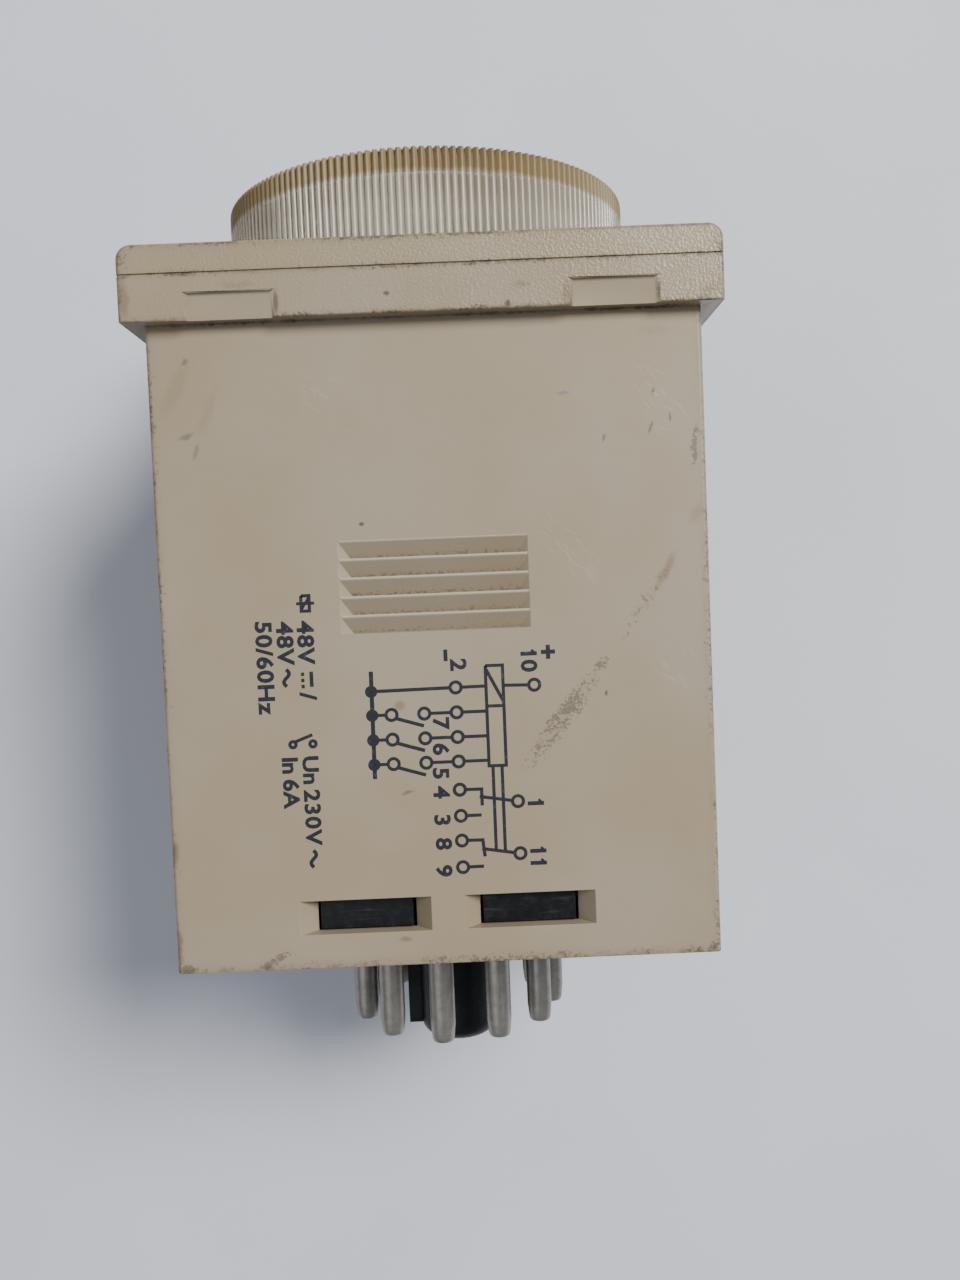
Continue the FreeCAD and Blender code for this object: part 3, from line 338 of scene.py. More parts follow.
def lettering(name, rows, low, high, matrix):
    """Letters as one closed mesh. rows are (text, u, v, height, spacing, centred) in millimetres.

    u, v is where the baseline starts, or the middle if centred. `matrix` carries the reading
    plane, with letters in x, y and their thickness in z, to the object.
    """
    whole = bmesh.new()
    for text, u, v, height, spacing, centred in rows:
        curve = bpy.data.curves.new("letters", "FONT")
        curve.body = text
        curve.size = height / CAPITAL_SHARE
        curve.space_character = spacing
        curve.extrude = (high - low) / 2
        curve.offset = LETTER_WEIGHT * height
        curve.resolution_u = 3
        if centred:
            curve.align_x = "CENTER"
            curve.align_y = "CENTER"
        item = bpy.data.objects.new("letters", curve)
        bpy.context.scene.collection.objects.link(item)
        bpy.context.view_layer.update()
        drawn = item.evaluated_get(bpy.context.evaluated_depsgraph_get())
        mesh = bpy.data.meshes.new_from_object(drawn)
        moved = Matrix.Translation((u, v, (low + high) / 2))
        mesh.transform(moved @ Matrix.Diagonal((LETTER_STRETCH, 1, 1, 1)))
        whole.from_mesh(mesh)
        bpy.data.objects.remove(item)
        bpy.data.curves.remove(curve)
        bpy.data.meshes.remove(mesh)
    bmesh.ops.remove_doubles(whole, verts=whole.verts, dist=0.001)
    mesh = bpy.data.meshes.new(name)
    whole.to_mesh(mesh)
    whole.free()
    mesh.transform(Matrix.Scale(MM, 4) @ matrix)
    return finish_piece(name, mesh)


# ---- plastics and metals ----------------------------------------------------------


def shaded(colour, share):
    """A colour made darker, or lighter with a share above 1."""
    return tuple(min(channel * share, 1.0) for channel in colour)


def moulded(name, colour, roughness):
    """Moulded plastic: fine grain in the relief, faint clouds in the colour."""
    look = Look(name, Specular_IOR_Level=0.45)
    look.set(
        Base_Color=look.mix(look.noise(9 * MM, detail=4), shaded(colour, 0.96), shaded(colour, 1.04)),
        Roughness=look.math("MULTIPLY_ADD", look.noise(1.5 * MM, detail=2), 0.12, roughness - 0.06),
        Normal=look.bump(look.noise(0.12 * MM, detail=2), 0.004 * MM),
    )
    return look.material


def metal(name, colour):
    """Plated metal: marks across the Y axis, and dull patches."""
    look = Look(name, Metallic=1.0)
    marks = look.noise(0.12 * MM, detail=3, stretch=(1, 4, 1))
    patches = look.noise(1.8 * MM, detail=5, roughness=0.65)
    look.set(
        Base_Color=look.mix(look.band(patches, 0.35, 0.7), colour, shaded(colour, 0.75)),
        Roughness=look.math("MULTIPLY_ADD", patches, 0.25, 0.25),
        Normal=look.bump(marks, 0.003 * MM),
    )
    return look.material


def laminate(name, colour):
    """Circuit board: solder mask over a faint glass weave."""
    look = Look(name, Roughness=0.35)
    weave = look.node("ShaderNodeTexChecker", {"Vector": look.place, "Scale": 1 / (0.4 * MM)}, output=1)
    look.set(
        Base_Color=look.mix(look.noise(3 * MM), shaded(colour, 0.8), colour),
        Normal=look.bump(weave, 0.002 * MM),
    )
    return look.material


def wound(name, colour):
    """Fine wire wound round an X axis: ridges at the wire's pitch."""
    look = Look(name, Metallic=0.9, Roughness=0.35)
    pitch = 0.18
    ridges = look.math("SINE", look.product(look.axis("X"), 2 * math.pi / (pitch * MM)))
    look.set(
        Base_Color=look.mix(look.noise(0.8 * MM), colour, shaded(colour, 0.7)),
        Normal=look.bump(ridges, 0.02 * MM),
    )
    return look.material


def clear(name, colour, roughness, transmission):
    """Clear or tinted plastic with slight flow marks."""
    look = Look(name, Transmission_Weight=transmission, IOR=1.49)
    look.set(
        Base_Color=look.mix(look.noise(6 * MM), colour, shaded(colour, 0.94)),
        Roughness=look.math("MULTIPLY_ADD", look.noise(0.7 * MM), 0.1, roughness - 0.05),
    )
    return look.material


def shifted(colour, shares):
    """A colour with each channel multiplied by its own share."""
    return tuple(channel * share for channel, share in zip(colour, shares))


def aged_case(name, colour, bezel=False):
    """Old beige moulding: yellowed in clouds, dirty along its edges, with specks, scuffs and a smudge;
    painted shade in the corner under the flange and on the notches' ends, and a painted highlight on the
    grip's lands.
    """
    look = Look(name, Specular_IOR_Level=0.5 if bezel else 0.4)
    x, along, z = (look.math("MULTIPLY", look.axis(letter), 1 / MM) for letter in "XYZ")
    wide, tall = look.math("ABSOLUTE", x), look.math("ABSOLUTE", z)
    clouds = look.noise(16 * MM, detail=4, roughness=0.55)
    yellowed = shifted(colour, (0.98, 0.945, 0.875))
    paler = shifted(colour, (1.03, 1.035, 1.06))
    shade = look.mix(look.band(clouds, 0.35, 0.65), yellowed, paler)
    film = look.noise(0.9 * MM, detail=7, roughness=0.78)
    rim = bezel_edges(look, wide, along, tall) if bezel else case_edges(look, wide, along, tall)
    # edge dirt, with painted shade in the corner under the flange
    shade = grimy(look, shade, rim, film)
    dots = look.strongest(look.specks(5.5 * MM, 0.26 * MM, 0.30), look.specks(2.1 * MM, 0.10 * MM, 0.22))
    shade = look.mix(look.product(dots, 0.60), shade, (0.05, 0.04, 0.035))
    if not bezel:
        shade = grip_shade(look, shade, wide, along, tall)
        shade = smudged(look, shade)
    if bezel:
        smoothest = 0.22
        depth = 0.060 * MM
    else:
        flange = look.math("LESS_THAN", along, CASE_FRONT + 0.05)
        smoothest = look.math("MULTIPLY_ADD", flange, -0.14, 0.34)
        raised = look.math("GREATER_THAN", look.math("MAXIMUM", wide, tall), BEZEL_SIDE - 0.35)
        depth = look.math("MULTIPLY_ADD", look.product(flange, raised), 0.046 * MM, 0.0035 * MM)
    grain = look.bump(look.noise(0.25 * MM, detail=2, roughness=0.6), depth)
    look.set(
        Base_Color=shade,
        Roughness=look.math("MULTIPLY_ADD", film, 0.22, smoothest),
        Normal=look.bump(look.noise(7 * MM, detail=2), 0.05 * MM, grain),
    )
    return look.material


def bezel_edges(look, wide, along, tall):
    """1 along the front frame's seam, front edges, dial opening and corners, 0 on its open faces."""
    outward = look.math("MAXIMUM", wide, tall)
    return look.strongest(
        look.band(along, SEAM - 0.7, SEAM + 0.1),
        look.product(look.band(along, BEZEL_FRONT + 0.9, BEZEL_FRONT + 0.1),
                     look.band(outward, 23.0, 23.8)),
        look.product(look.band(look.distance(wide, tall), 20.9, 20.0),
                     look.math("LESS_THAN", along, BEZEL_FRONT + 0.8)),
        look.product(look.band(look.math("MINIMUM", wide, tall), 22.0, BEZEL_SIDE), 0.9),
    )


def case_edges(look, wide, along, tall):
    """1 along the edges of the case and its flange, 0 on their open faces."""
    across = look.math("MINIMUM", wide, tall)
    outward = look.math("MAXIMUM", wide, tall)
    body = look.math("GREATER_THAN", along, CASE_FRONT + 0.05)
    end_face = look.math("MULTIPLY_ADD", look.math("GREATER_THAN", along, -0.02), -0.75, 1.0)
    return look.strongest(
        look.product(look.band(along, -1.3, 0.0), end_face),
        look.product(look.band(across, 21.2, CASE_SIDE), 0.8, body),
        look.product(look.band(across, 22.9, BEZEL_SIDE),
                     look.math("LESS_THAN", along, CASE_FRONT - 0.05)),
        # the corner under the back of the flange: contact grime, and painted shade for the shadow line
        # there
        look.product(look.band(along, CASE_FRONT + 0.35, CASE_FRONT),
                     look.math("GREATER_THAN", along, CASE_FRONT - 0.01),
                     look.band(outward, 23.9, 22.5)),
        look.product(look.band(along, CASE_FRONT - 0.7, CASE_FRONT),
                     look.math("LESS_THAN", along, CASE_FRONT + 0.01),
                     look.band(outward, 23.3, BEZEL_SIDE)),
        look.product(look.band(along, SEAM + 0.5, SEAM), 0.9),
    )


def grimy(look, shade, rim, film):
    """Old dirt along the edges `rim`: a brown film and darker crumbs. In the corner under the case's flange
    the smooth darkening is also painted shade.
    """
    grime = look.band(look.math("MULTIPLY_ADD", rim, 0.24, film), 0.66, 0.86)
    shade = look.mix(look.product(grime, 0.62), shade, (0.070, 0.050, 0.034))
    # smooth darkening along the rim: dirt, and painted shade in the corner under the flange
    shade = look.mix(look.product(rim, 0.16), shade, (0.16, 0.11, 0.065))
    crumbs = look.noise(0.4 * MM, detail=5, roughness=0.8)
    gathered = look.product(look.band(look.noise(5 * MM, detail=2), 0.38, 0.58), rim)
    crumbs = look.band(look.math("MULTIPLY_ADD", gathered, 0.20, crumbs), 0.64, 0.73)
    crumbs = look.product(crumbs, look.math("MULTIPLY", rim, 3.0, clamp=True), 0.7)
    return look.mix(crumbs, shade, (0.060, 0.044, 0.030))


def grip_shade(look, shade, wide, along, tall):
    """Finger grip: a painted highlight that makes its lands pale, and dust in the deep corner of each step.
    """
    middle, half_length, half_width = -31.22, 3.74, 7.62
    offset = look.math("ABSOLUTE", look.math("SUBTRACT", along, middle))
    inside = look.product(look.math("LESS_THAN", wide, half_width),
                          look.math("LESS_THAN", offset, half_length))
    # painted highlight: the grip's lands are made paler, as where the light catches them
    land_painted_highlight = look.product(inside, look.band(tall, 22.32, 22.38))
    shade = look.mix(look.product(land_painted_highlight, 0.8), shade, (0.44, 0.385, 0.29))
    deep = look.product(inside, look.band(tall, 21.95, 21.52))
    grains = look.noise(0.35 * MM, detail=4, roughness=0.8)
    dust = look.band(look.math("MULTIPLY_ADD", deep, 0.16, grains), 0.64, 0.74)
    return look.mix(look.product(dust, inside, 0.5), shade, (0.075, 0.058, 0.04))


def smudged(look, shade):
    """The printed side's own marks: stains, scuffs, a granular smudge with its tail, and fine scratches;
    also painted shade on the end bevels of the flange's notches.
    """
    place = look.warped(0.32 * MM, 1.1 * MM)
    brown = look.strongest(look.patches(place, CASE_SIDE, (
        (-18.8, -31.5, 2.2, 0.55, 60, 0.50),
        (-21.4, -36.0, 1.3, 0.7, 60, 0.28),
        (3.25, -21.4, 0.6, 0.5, 0, 0.50),
        (20.2, -47.6, 3.6, 0.95, 60, 0.20),
        (17.7, -45.6, 2.8, 0.65, 68, 0.13),
        (-18.5, -50.9, 2.0, 0.8, 0, 0.20),
        (22.1, -10.0, 1.5, 0.45, 90, 0.65),
        (22.1, -2.4, 2.0, 0.4, 90, 0.65),
    )), look.patches(place, BEZEL_SIDE, (
        (23.4, -54.4, 2.1, 0.5, 90, 0.45),
        (-11.4, -53.8, 1.3, 0.4, 90, 0.50),
        (-22.6, -53.4, 1.4, 0.6, 40, 0.40),
        (-7.9, -54.5, 0.9, 0.4, 10, 0.35),
        (14.5, -55.3, 2.0, 0.4, 0, 0.25),
    )))
    shade = look.mix(brown, shade, (0.145, 0.090, 0.042))
    # painted shade: the notches' end bevels that face away from the light are darkened
    notch_end_painted_shade = look.patches(look.place, BEZEL_SIDE, (
        (-18.62, -53.8, 1.35, 0.36, 90, 0.75),
        (11.5, -53.8, 1.35, 0.32, 90, 0.75),
    ))
    shade = look.mix(notch_end_painted_shade, shade, (0.085, 0.062, 0.040))
    dark = look.strongest(look.patches(place, CASE_SIDE, (
        (19.5, -43.85, 0.95, 0.28, 20, 0.45),
        (18.7, -42.6, 1.1, 0.28, 71, 0.35),
        (-18.25, -46.05, 0.45, 0.16, 80, 0.60),
        (-19.47, -43.9, 0.55, 0.17, 88, 0.60),
        (-17.95, -43.1, 0.75, 0.2, 75, 0.60),
        (-14.2, -42.4, 0.5, 0.16, 73, 0.60),
        (2.9, -14.3, 0.75, 0.25, 11, 0.50),
        (3.5, -2.2, 0.7, 0.3, 10, 0.40),
        (5.73, -36.25, 0.26, 0.24, 0, 0.85),
        (-13.6, -21.8, 0.24, 0.24, 0, 0.75),
        (19.3, -49.8, 0.4, 0.25, 40, 0.45),
    )), look.patches(place, BEZEL_SIDE, (
        (-6.76, -53.0, 0.38, 0.26, 90, 0.80),
        (2.79, -54.2, 0.32, 0.26, 0, 0.80),
    )))
    shade = look.mix(dark, shade, (0.055, 0.045, 0.034))
    pen = look.patches(place, CASE_SIDE, ((-10.95, -46.1, 0.85, 0.15, 3, 0.5),))
    shade = look.mix(pen, shade, (0.10, 0.095, 0.17))
    grains = look.noise(0.30 * MM, detail=3, roughness=0.7)
    sown = look.patches(place, CASE_SIDE, (
        (-10.0, -19.9, 6.9, 1.25, 52, 0.62),
        (-10.6, -20.9, 1.6, 0.75, 50, 1.0),
        (-13.3, -24.1, 1.2, 0.6, 48, 0.8),
        (-17.0, -29.0, 6.0, 0.8, 56, 0.34),
        (-21.45, -41.4, 2.4, 0.5, 86, 0.85),
        (14.4, -0.8, 2.2, 0.45, 24, 0.95),
        (21.7, -0.4, 1.4, 0.6, 0, 1.0),
        (-21.8, -0.6, 1.0, 0.5, 20, 0.7),
    ))
    cover = look.band(look.math("MULTIPLY_ADD", sown, 0.27, grains), 0.61, 0.72)
    cover = look.product(cover, look.math("MULTIPLY", sown, 4.0, clamp=True), 0.62)
    shade = look.mix(cover, shade, (0.075, 0.058, 0.04))
    rubbed = look.patches(place, CASE_SIDE, (
        (-10.8, -33.8, 5.5, 2.4, 122, 0.5),
        (-18.4, -45.6, 4.5, 2.8, 115, 0.55),
        (-19.3, -24.6, 4.0, 2.2, 105, 0.4),
        (8.0, -46.0, 7.0, 3.0, 120, 0.25),
    ))
    lines = look.strongest(
        look.band(look.streaks(0.14 * MM, 22.0, 122), 0.64, 0.72),
        look.band(look.streaks(0.12 * MM, 16.0, 150), 0.66, 0.74),
    )
    return look.mix(look.product(lines, rubbed), shade, (0.48, 0.43, 0.35))


def clear_dial(name):
    """Old clear acrylic: ribbed skirt milky with wear, disc clear, its thick rim gone amber, and painted
    light in the rib grooves.
    """
    look = Look(name, IOR=1.49)
    x, along, z = (look.math("MULTIPLY", look.axis(letter), 1 / MM) for letter in "XYZ")
    radius = look.distance(x, z)
    border = look.math("MULTIPLY_ADD", look.noise(2.2 * MM, detail=3), 0.5, along)
    amber = look.band(border, -64.95, -65.6)
    groove_painted_light = look.band(radius, DIAL_RADIUS - 0.05, DIAL_RADIUS - 0.38)
    skirt = look.mix(look.noise(1.6 * MM, detail=4), (0.50, 0.445, 0.355), (0.62, 0.56, 0.455))
    # painted light: the rib grooves are made lighter than the crests, for light passing through the plastic
    skirt = look.mix(look.product(groove_painted_light, 0.55), skirt, (0.82, 0.755, 0.64))
    rim = look.mix(look.noise(1.6 * MM, detail=4), (0.235, 0.165, 0.066), (0.285, 0.207, 0.090))
    rim = look.mix(look.product(groove_painted_light, 0.65), rim, (0.50, 0.375, 0.18))
    edge = look.band(radius, 17.6, 18.5)
    clouding = look.math("MULTIPLY_ADD", amber, -0.30, -0.32)
    roughening = look.math("MULTIPLY_ADD", amber, 0.26, 0.18)
    look.set(
        Base_Color=look.mix(edge, (0.93, 0.90, 0.82), look.mix(amber, skirt, rim)),
        Transmission_Weight=look.math("MULTIPLY_ADD", edge, clouding, 0.95),
        Roughness=look.math("MULTIPLY_ADD", edge, roughening, 0.06),
        Normal=look.bump(look.noise(0.5 * MM, detail=2), 0.0015 * MM),
    )
    return look.material


def plated_pin(name):
    """Dull nickel plating, rubbed along the pin, with darker stains."""
    look = Look(name, Metallic=0.85)
    rub = look.noise(0.25 * MM, detail=4, stretch=(1, 0.08, 1))
    stains = look.noise(1.1 * MM, detail=6, roughness=0.7)
    shade = look.mix(look.band(stains, 0.36, 0.66), (0.335, 0.318, 0.285), (0.265, 0.248, 0.220))
    shade = look.mix(look.product(look.band(rub, 0.55, 0.75), 0.25), shade, (0.50, 0.48, 0.44))
    look.set(
        Base_Color=shade,
        Roughness=look.math("MULTIPLY_ADD", stains, 0.15, 0.30),
        Normal=look.bump(rub, 0.002 * MM),
    )
    return look.material


def black_moulding(name):
    """Black base plastic, dusty, with fine pale scratches across the latches."""
    look = Look(name, Specular_IOR_Level=0.3)
    dust = look.noise(0.9 * MM, detail=6, roughness=0.75)
    scratch = look.noise(0.35 * MM, detail=2, stretch=(0.12, 1, 1))
    shade = look.mix(look.band(dust, 0.45, 0.8), (0.0025, 0.003, 0.0045), (0.014, 0.014, 0.015))
    shade = look.mix(look.product(look.band(scratch, 0.62, 0.72), 0.25), shade, (0.05, 0.05, 0.055))
    look.set(
        Base_Color=shade,
        Roughness=look.math("MULTIPLY_ADD", dust, 0.4, 0.2),
        Normal=look.bump(look.noise(0.2 * MM, detail=2), 0.006 * MM),
    )
    return look.material


def ink(name, colour):
    """Pad-printed ink, worn thin in places."""
    look = Look(name, Specular_IOR_Level=0.3, Roughness=0.6)
    wear = look.noise(0.5 * MM, detail=5, roughness=0.75)
    faded = tuple(0.75 * channel + 0.06 for channel in colour)
    look.set(Base_Color=look.mix(look.band(wear, 0.55, 0.75), colour, faded))
    return look.material


def inner_look(slot, kind, colour):
    """A finish for a piece inside the case, from its material class in the record."""
    if kind in ("brushed_steel", "aluminium", "brass", "chrome"):
        return metal(slot, colour)
    return moulded(slot, colour, 0.3 if kind == "gloss_plastic" else 0.5)


def dress_nodes():
    """Every CAD node gets its slot's material, whether or not a detailed piece replaces it."""
    special = {
        "board_laminate": laminate,
        "winding_wire": wound,
        "relay_cover_plastic": lambda slot, colour: clear(slot, colour, 0.15, 0.8),
        "green_lens": lambda slot, colour: clear(slot, colour, 0.2, 0.6),
        "red_lens": lambda slot, colour: clear(slot, colour, 0.2, 0.6),
        "case_plastic": lambda slot, colour: aged_case(slot, (0.290, 0.243, 0.172)),
        "frame_plastic": lambda slot, colour: aged_case(slot, (0.290, 0.241, 0.158), bezel=True),
        "dial_plastic": lambda slot, colour: clear_dial(slot),
        "pin_metal": lambda slot, colour: plated_pin(slot),
        "base_plastic": lambda slot, colour: black_moulding(slot),
    }
    looks = {}
    for entry in frame["record"]["materials"]:
        slot, colour = entry["slot"], tuple(entry["base_color"][:3])
        if slot in special:
            looks[slot] = special[slot](slot, colour)
        else:
            looks[slot] = inner_look(slot, entry["class"], colour)
    for entry in frame["record"]["subparts"]:
        item = frame["nodes"][entry["node"]]
        item.data.materials.clear()
        item.data.materials.append(looks[entry["material_slot"]])
    return looks


# ---- pieces -----------------------------------------------------------------------


def make_case():
    """Case, front frame and base, with the edges eased that a mould would round."""

    def louvres(point):
        return abs(point.z) > 21.3 and abs(point.x) < 7.8 and -35.2 < point.y < -27.3

    def windows(point):
        return abs(point.z) > 20.8 and 1.2 < abs(point.x) < 12.3 and -5.8 < point.y < -2.7

    def front(point):
        return abs(point.y - BEZEL_FRONT) < 0.02

    housing = softened("housing", "case_shell", (
        # rear end, back of the flange, seam
        (0.14, lambda point: point.y > -0.02 and span(point) > CASE_SIDE - 0.4),
        (0.14, lambda point: abs(point.y - CASE_FRONT) < 0.02 and span(point) > BEZEL_SIDE - 0.1),
        (0.05, lambda point: abs(point.y - SEAM) < 0.02 and span(point) > BEZEL_SIDE - 0.1),
        (0.04, louvres),
        (0.04, windows),
    ))
    wear(housing, "case_plastic", "case")
    bezel = softened("front_frame", "bezel_ring", (
        # seam, dial opening, corner windows
        (0.05, lambda point: abs(point.y - SEAM) < 0.2 and span(point) > BEZEL_SIDE - 0.3),
        (0.15, lambda point: front(point) and point.xz.length < 20.0),
        (0.12, lambda point: front(point) and point.xz.length > 21.0 and span(point) < 20.0),
    ), quartered=True)
    wear(bezel, "frame_plastic", "case")
    base = softened("plug_base", "pin_base", (
        # key post, latch arms
        (0.12, lambda point: point.xz.length < 5.3 and point.y > 0.01),
        (0.06, lambda point: span(point) > 19.5 and point.y < -2.6),
    ))
    wear(base, "base_plastic", "case")


def wear(item, slot, body):
    """Give a new piece its slot's material and body."""
    item.data.materials.append(LOOKS[slot])
    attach(item, body)


def make_dial():
    """Clear cup with 180 grip ribs, their valleys deeper at the front edge, and a hub for the shaft."""
    ribs, samples, corner = 180, 8, 0.25
    depth, front_depth = 0.40, 0.80
    skirt_end, hub_end, disc_rear, bore_end = -58.0, -58.2, -65.74, -64.02
    inner, hub, bore = DIAL_RADIUS - 1.3, 4.5, 2.02
    outside = [(16.5, DIAL_FRONT, 0.0), (18.3, DIAL_FRONT, 0.0)]  # radius, y, depth of the valleys
    for step in range(4):
        turn = math.radians(30 * step)
        outside.append((DIAL_RADIUS - corner * (1 - math.sin(turn)),
                        DIAL_FRONT + corner * (1 - math.cos(turn)), front_depth))
    outside += [
        (DIAL_RADIUS, DIAL_FRONT + 0.75, depth),
        (DIAL_RADIUS, -61.5, depth),
        (DIAL_RADIUS, skirt_end - 0.15, depth),
    ]
    profile = [(0, DIAL_FRONT)] + [(r, y) for r, y, _ in outside] + [
        (DIAL_RADIUS - 0.45, skirt_end), (DIAL_RADIUS - 1.15, skirt_end),
        (inner, skirt_end - 0.15), (inner, disc_rear + 0.3), (DIAL_RADIUS - 1.6, disc_rear),
        (hub + 0.2, disc_rear), (hub, disc_rear + 0.2), (hub, hub_end - 0.1), (4.4, hub_end),
        (2.14, hub_end), (bore, hub_end - 0.12), (bore, bore_end), (0, bore_end),
    ]

    def rib(index, angle):
        if index >= len(outside):
            return DIAL_RADIUS
        share = (angle * ribs / (2 * math.pi)) % 1.0
        return DIAL_RADIUS - outside[index][2] * (1 - math.sin(math.pi * share) ** 0.8)

    dial = lathe("dial_cup", profile, ribs * samples, rib, smooth_angle=50)
    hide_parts("dial_knob")
    wear(dial, "dial_plastic", "dial")


def make_controls():
    """Front pieces with their edges eased: both selector rotors and the dial's pointer."""
    for node in ("range_selector", "mode_selector"):
        rotor = softened(node + "_rotor", node + "_cap", ((0.12, lambda point: point.y < -58.3),))
        wear(rotor, "rotor_plastic", node)
    pointer = softened("dial_pointer", "pointer_plate", ((0.08, lambda point: point.y > -65.3),))
    wear(pointer, "pointer_plastic", "dial")


def make_pins():
    """Plug pins: a shoulder at the base, a short taper and a nearly flat end with its edge rounded."""
    pins, circle, length, radius = 11, 9.525, 11.7, 1.18
    rear, stem, body = -8.3, 0.6, 1.0
    profile = [
        (0, rear), (0.5, rear), (stem, rear + 0.15), (stem, -4.5), (body, -4.5), (body, -0.02),
        (1.08, 0.0), (radius, 0.12), (radius, 4.0), (radius, length - 1.7),
        (radius - 0.07, length - 1.0), (radius - 0.12, length - 0.5), (radius - 0.17, length - 0.22),
        (radius - 0.25, length - 0.07), (radius - 0.38, length - 0.01), (0, length),
    ]
    for number in range(1, pins + 1):
        turn = math.radians(180 / pins + 360 / pins * (number - 1))
        centre = (circle * math.cos(turn), circle * math.sin(turn))
        pin = lathe("plug_pin_%02d" % number, profile, 32, centre=centre, smooth_angle=40)
        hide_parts("pin_%02d" % number)
        wear(pin, "pin_metal", "case")


def make_lenses():
    """Lamp windows with domed fronts, moulded in one with their light pipes."""
    head, pipe = 2.3, 1.9
    lamps = (("power_lens", "green_lens", -CORNER_OFFSET), ("output_lens", "red_lens", CORNER_OFFSET))
    for node, slot, z in lamps:
        low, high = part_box(node)
        front, rear = low.y / MM, high.y / MM
        profile = [
            (0, front), (0.9, front + 0.03), (1.6, front + 0.15), (2.05, front + 0.38),
            (head, front + 0.75), (head, SEAM - 0.05), (head - 0.05, SEAM), (pipe, SEAM),
            (pipe, rear - 0.1), (pipe - 0.1, rear), (0, rear),
        ]
        lens = lathe(node + "_domed", profile, 48, centre=(-CORNER_OFFSET, z))
        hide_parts(node)
        wear(lens, slot, "case")


# ---- print ------------------------------------------------------------------------


def on_lid(right, down, height):
    """A point of the printed side, seen with the dial at the top."""
    return (-right, down, height)


def ring_at(right, down, radius=RING, line=LINE):
    """A round outline. Its defaults are a terminal's, and a line twice as wide as the radius fills it."""
    return (ring_points((right, down), radius), line)


def flag_at(right, down):
    """The short slanted stroke at the head of a figure one, read downwards."""
    return ([(right - 0.08, down), (right - 0.36, down - 0.32)], 0.2)


def wave_at(right, down):
    """A sine sign, read downwards."""
    length, height, steps, line = 1.4, 0.22, 16, 0.3
    points = []
    for step in range(steps + 1):
        share = step / steps
        points.append((right + height * math.sin(2 * math.pi * share), down + length * share))
    return (points, line)


def make_diagram():
    """Connection diagram: coil box, eleven terminals, three control switches and two contacts.

    Points are (right, down), as on_lid takes them.
    """
    column = 1.38  # most of the terminals
    rail, left_switch, right_switch = -5.5, -3.93, -1.26
    switched = (-20.70, -18.68, -16.67)
    box_left, box_right, box_top, box_bottom = 3.85, 5.25, -24.4, -16.2
    box = [(box_left, box_top), (box_right, box_top), (box_right, box_bottom), (box_left, box_bottom),
           (box_left, box_top)]
    strokes = [
        ([(-5.46, -24.3), (rail, -15.5)], 0.34),
        ([(rail, -22.66), (column - RING, -22.72)], 0.28),
        (box, LINE),
        ([(box_left, -21.1), (box_right, -21.1)], LINE),
        ([(box_left, -24.2), (box_right, -21.4)], 0.27),
        ([(4.16, box_bottom), (4.16, -9.3)], LINE),
        ([(4.90, box_bottom), (4.90, -9.15)], LINE),
        ([(column + RING, -22.73), (box_left, -22.75)], LINE),
        ([(box_right, -22.75), (7.78 - RING, -22.70)], LINE),
        ([(column + RING, -14.34), (3.16, -14.33), (3.16, -12.98)], LINE),
        ([(2.98, -13.72), (6.09 - RING, -13.28)], LINE),
        ([(column + RING, -12.19), (3.07, -12.2)], LINE),
        ([(column + RING, -10.15), (3.09, -10.14), (3.23, -8.77)], LINE),
        ([(3.02, -9.42), (6.12 - RING, -8.98)], LINE),
        ([(column + RING, -7.95), (3.10, -7.97)], LINE),
        ([(9.0, -25.9), (9.0, -24.75)], 0.34),
        ([(8.43, -25.33), (9.57, -25.33)], 0.34),
        ([(0.66, -25.85), (0.66, -24.9)], 0.32),
        flag_at(8.02, -25.23), flag_at(8.14, -12.98), flag_at(8.19, -9.04), flag_at(8.19, -8.06),
        ring_at(7.78, -22.69), ring_at(6.09, -13.21), ring_at(6.12, -8.91), ring_at(column, -22.73),
    ]
    for down in switched + (-14.35, -12.19, -10.15, -7.95):
        strokes.append(ring_at(column, down))
    for down in switched:
        strokes += [
            ring_at(left_switch, down), ring_at(right_switch, down),
            ([(rail, down), (left_switch - RING, down)], LINE),
            ([(-3.6, down + 0.3), (-1.32, down + 1.0)], 0.28),
            ([(right_switch + RING, down), (column - RING, down)], LINE),
            ([(column + RING, down), (box_left, down)], LINE),
        ]
    for down in (-22.65,) + switched:
        strokes.append(ring_at(rail, down, 0.25, 0.5))
    diagram = bars("diagram_lines", strokes, PRINT_LOW, PRINT_HIGH, on_lid)
    print_on(diagram, "case")
    numbers = (
        ("10", 7.35, -24.75), ("2", 1.60, -24.57), ("7", 0.0, -19.87), ("6", -0.1, -17.74),
        ("5", -0.18, -15.74), ("4", -0.2, -14.18), ("3", -0.22, -11.9), ("8", -0.18, -9.94),
        ("9", -0.24, -7.7), ("1", 7.47, -12.98), ("11", 7.52, -8.55),
    )
    digits = [(sign, down, right, 1.3, 1.0, True) for sign, right, down in numbers]
    print_on(lettering("diagram_numbers", digits, PRINT_LOW, PRINT_HIGH, READS_DOWN), "case")


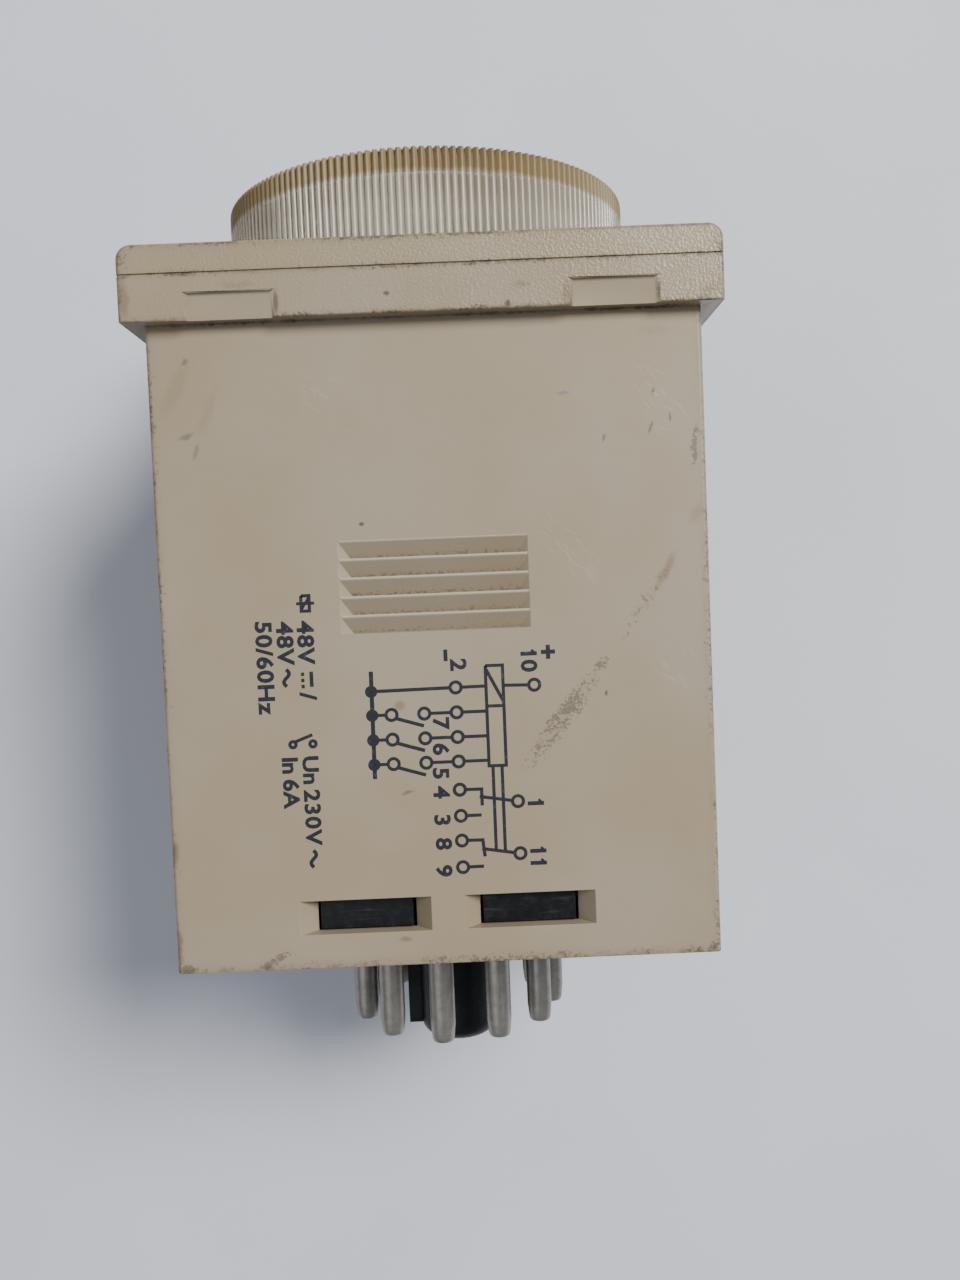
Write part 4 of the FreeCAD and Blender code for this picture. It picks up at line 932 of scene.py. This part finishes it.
def make_ratings():
    """Generic supply and contact ratings, read downwards, with their symbols."""
    supply, contact = 1.34, 1.29
    rows = [
        ("48V", -28.62, -11.25, supply, 1.08, False),
        ("/", -22.8, -11.25, supply, 1.0, False),
        ("48V", -28.62, -12.92, supply, 1.08, False),
        ("50/60Hz", -28.75, -14.64, supply, 1.08, False),
        ("Un", -17.65, -11.3, contact, 1.0, False),
        ("230V", -14.85, -11.3, contact, 1.12, False),
        ("In", -17.62, -12.97, contact, 0.95, False),
        ("6A", -15.78, -12.97, contact, 1.05, False),
    ]
    print_on(lettering("rating_letters", rows, PRINT_LOW, PRINT_HIGH, READS_DOWN), "case")
    coil = [(-10.86, -30.67), (-10.2, -30.67), (-10.2, -29.43), (-10.86, -29.43), (-10.86, -30.67)]
    strokes = [
        ([(-10.3, -24.5), (-10.3, -23.25)], 0.30),
        wave_at(-12.32, -24.75), wave_at(-10.8, -9.85),
        (coil, LINE),
        ([(-11.25, -30.05), (-9.8, -30.05)], 0.24),
        ([(-10.8, -29.6), (-10.26, -30.5)], 0.2),
        ring_at(-10.42, -18.6, 0.25), ring_at(-12.05, -18.6, 0.25),
        ([(-11.9, -18.8), (-10.45, -19.35)], LINE),
    ]
    for start in (-24.45, -23.95, -23.45):
        strokes.append(([(-11.0, start), (-11.0, start + 0.28)], 0.25))
    print_on(bars("rating_symbols", strokes, PRINT_LOW, PRINT_HIGH, on_lid), "case")


def make_scale():
    """Eleven numbered divisions over the dial's travel, with finer marks between them."""
    divisions, parts, arc_steps = 10, 5, 140
    marks_end, numbers_radius, low, high = 18.23, 13.2, -0.01, 0.015

    def spot(share, radius):
        turn = math.radians(DIAL_SWEEP * (share - 0.5))
        return (radius * math.sin(turn), radius * math.cos(turn))

    strokes = []
    for mark in range(divisions * parts + 1):
        share = mark / (divisions * parts)
        start, line = (15.4, 0.32) if mark % parts == 0 else (16.6, 0.16)
        strokes.append(([spot(share, start), spot(share, marks_end)], line))
    strokes.append(([spot(step / arc_steps, 18.3) for step in range(arc_steps + 1)], 0.16))
    rows = []
    for number in range(divisions + 1):
        right, up = spot(number / divisions, numbers_radius)
        rows.append((str(number), right, up, 2.0, 1.0, True))
        if number in (1, 10):  # the slanted stroke at the head of the figure one
            right -= 0.74 if number == 10 else 0.0
            strokes.append(([(right, up + 0.9), (right - 0.5, up + 0.45)], 0.24))

    def on_plate(right, up, height):
        return (-up, PLATE_FRONT - height, right)

    faces_front = Matrix(((0, -1, 0, 0), (0, 0, -1, PLATE_FRONT), (1, 0, 0, 0), (0, 0, 0, 1)))
    print_on(bars("scale_marks", strokes, low, high, on_plate), "case")
    print_on(lettering("scale_numbers", rows, low, high, faces_front), "case")


def print_on(item, body):
    """Ink a print piece and let it move with a body."""
    item.data.materials.append(INK)
    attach(item, body)


# ---- studio -----------------------------------------------------------------------


def make_camera():
    """Straight above the printed side, slightly tilted and turned, 89 mm from it."""
    data = bpy.data.cameras.new("camera")
    data.sensor_width = 36.0
    data.lens = 30.84
    data.clip_start = 0.005
    camera = bpy.data.objects.new("camera", data)
    turn, roll, tilt = (
        Matrix.Rotation(math.radians(degrees), 3, axis)
        for degrees, axis in ((2.338, "Z"), (0.299, "Y"), (2.383, "X")))
    facing = Matrix.Rotation(math.pi, 3, "Z") @ (turn @ roll @ tilt).transposed()
    camera.matrix_world = Matrix.Translation(Vector((-3.05, -30.21, 111.42)) * MM) @ facing.to_4x4()
    bpy.context.scene.collection.objects.link(camera)
    bpy.context.scene.camera = camera


def make_floor():
    """A sheet that touches the flange's lower edge and the rear edge of the case, as the part lies."""
    slope = (BEZEL_SIDE - CASE_SIDE) / -CASE_FRONT
    edge = 3000.0
    corners = ((-edge, -edge), (edge, -edge), (edge, edge), (-edge, edge))
    floor = make_piece("floor", [(x, y, -CASE_SIDE + slope * y) for x, y in corners], [(0, 1, 2, 3)])
    look = Look("floor_surface", Roughness=0.85, Specular_IOR_Level=0.2)
    tone = look.noise(0.030, detail=2)
    look.set(Base_Color=look.mix(tone, (0.575, 0.592, 0.655), (0.65, 0.667, 0.725)))
    floor.data.materials.append(look.material)


def make_light(name, place, aim, size, power, colour):
    """A round area light at `place`, facing `aim`, all in metres and watts."""
    data = bpy.data.lights.new(name, "AREA")
    data.shape = "DISK"
    data.size = size
    data.energy = power
    data.color = colour
    light = bpy.data.objects.new(name, data)
    light.location = place
    light.rotation_mode = "QUATERNION"
    light.rotation_quaternion = (Vector(place) - Vector(aim)).to_track_quat("Z", "Y")
    bpy.context.scene.collection.objects.link(light)


def make_lights():
    """A soft window high on the -X side, a wide weak fill and a pale room."""
    middle = (0, -0.03, 0)
    make_light("window_light", (-0.46, -0.40, 0.70), middle, 0.40, 13.0, (1.0, 0.985, 0.96))
    make_light("room_light", (0.5, 0.1, 0.8), middle, 0.9, 1.8, (0.92, 0.96, 1.0))
    world = bpy.data.worlds.new("room")
    world.use_nodes = True
    background = world.node_tree.nodes["Background"]
    background.inputs["Color"].default_value = (0.80, 0.84, 0.92, 1)
    background.inputs["Strength"].default_value = 0.33
    bpy.context.scene.world = world


LOOKS = dress_nodes()
make_case()
make_dial()
make_pins()
make_lenses()
make_controls()
INK = ink("print_ink", (0.012, 0.014, 0.022))
make_diagram()
make_ratings()
make_scale()
make_camera()
make_floor()
make_lights()
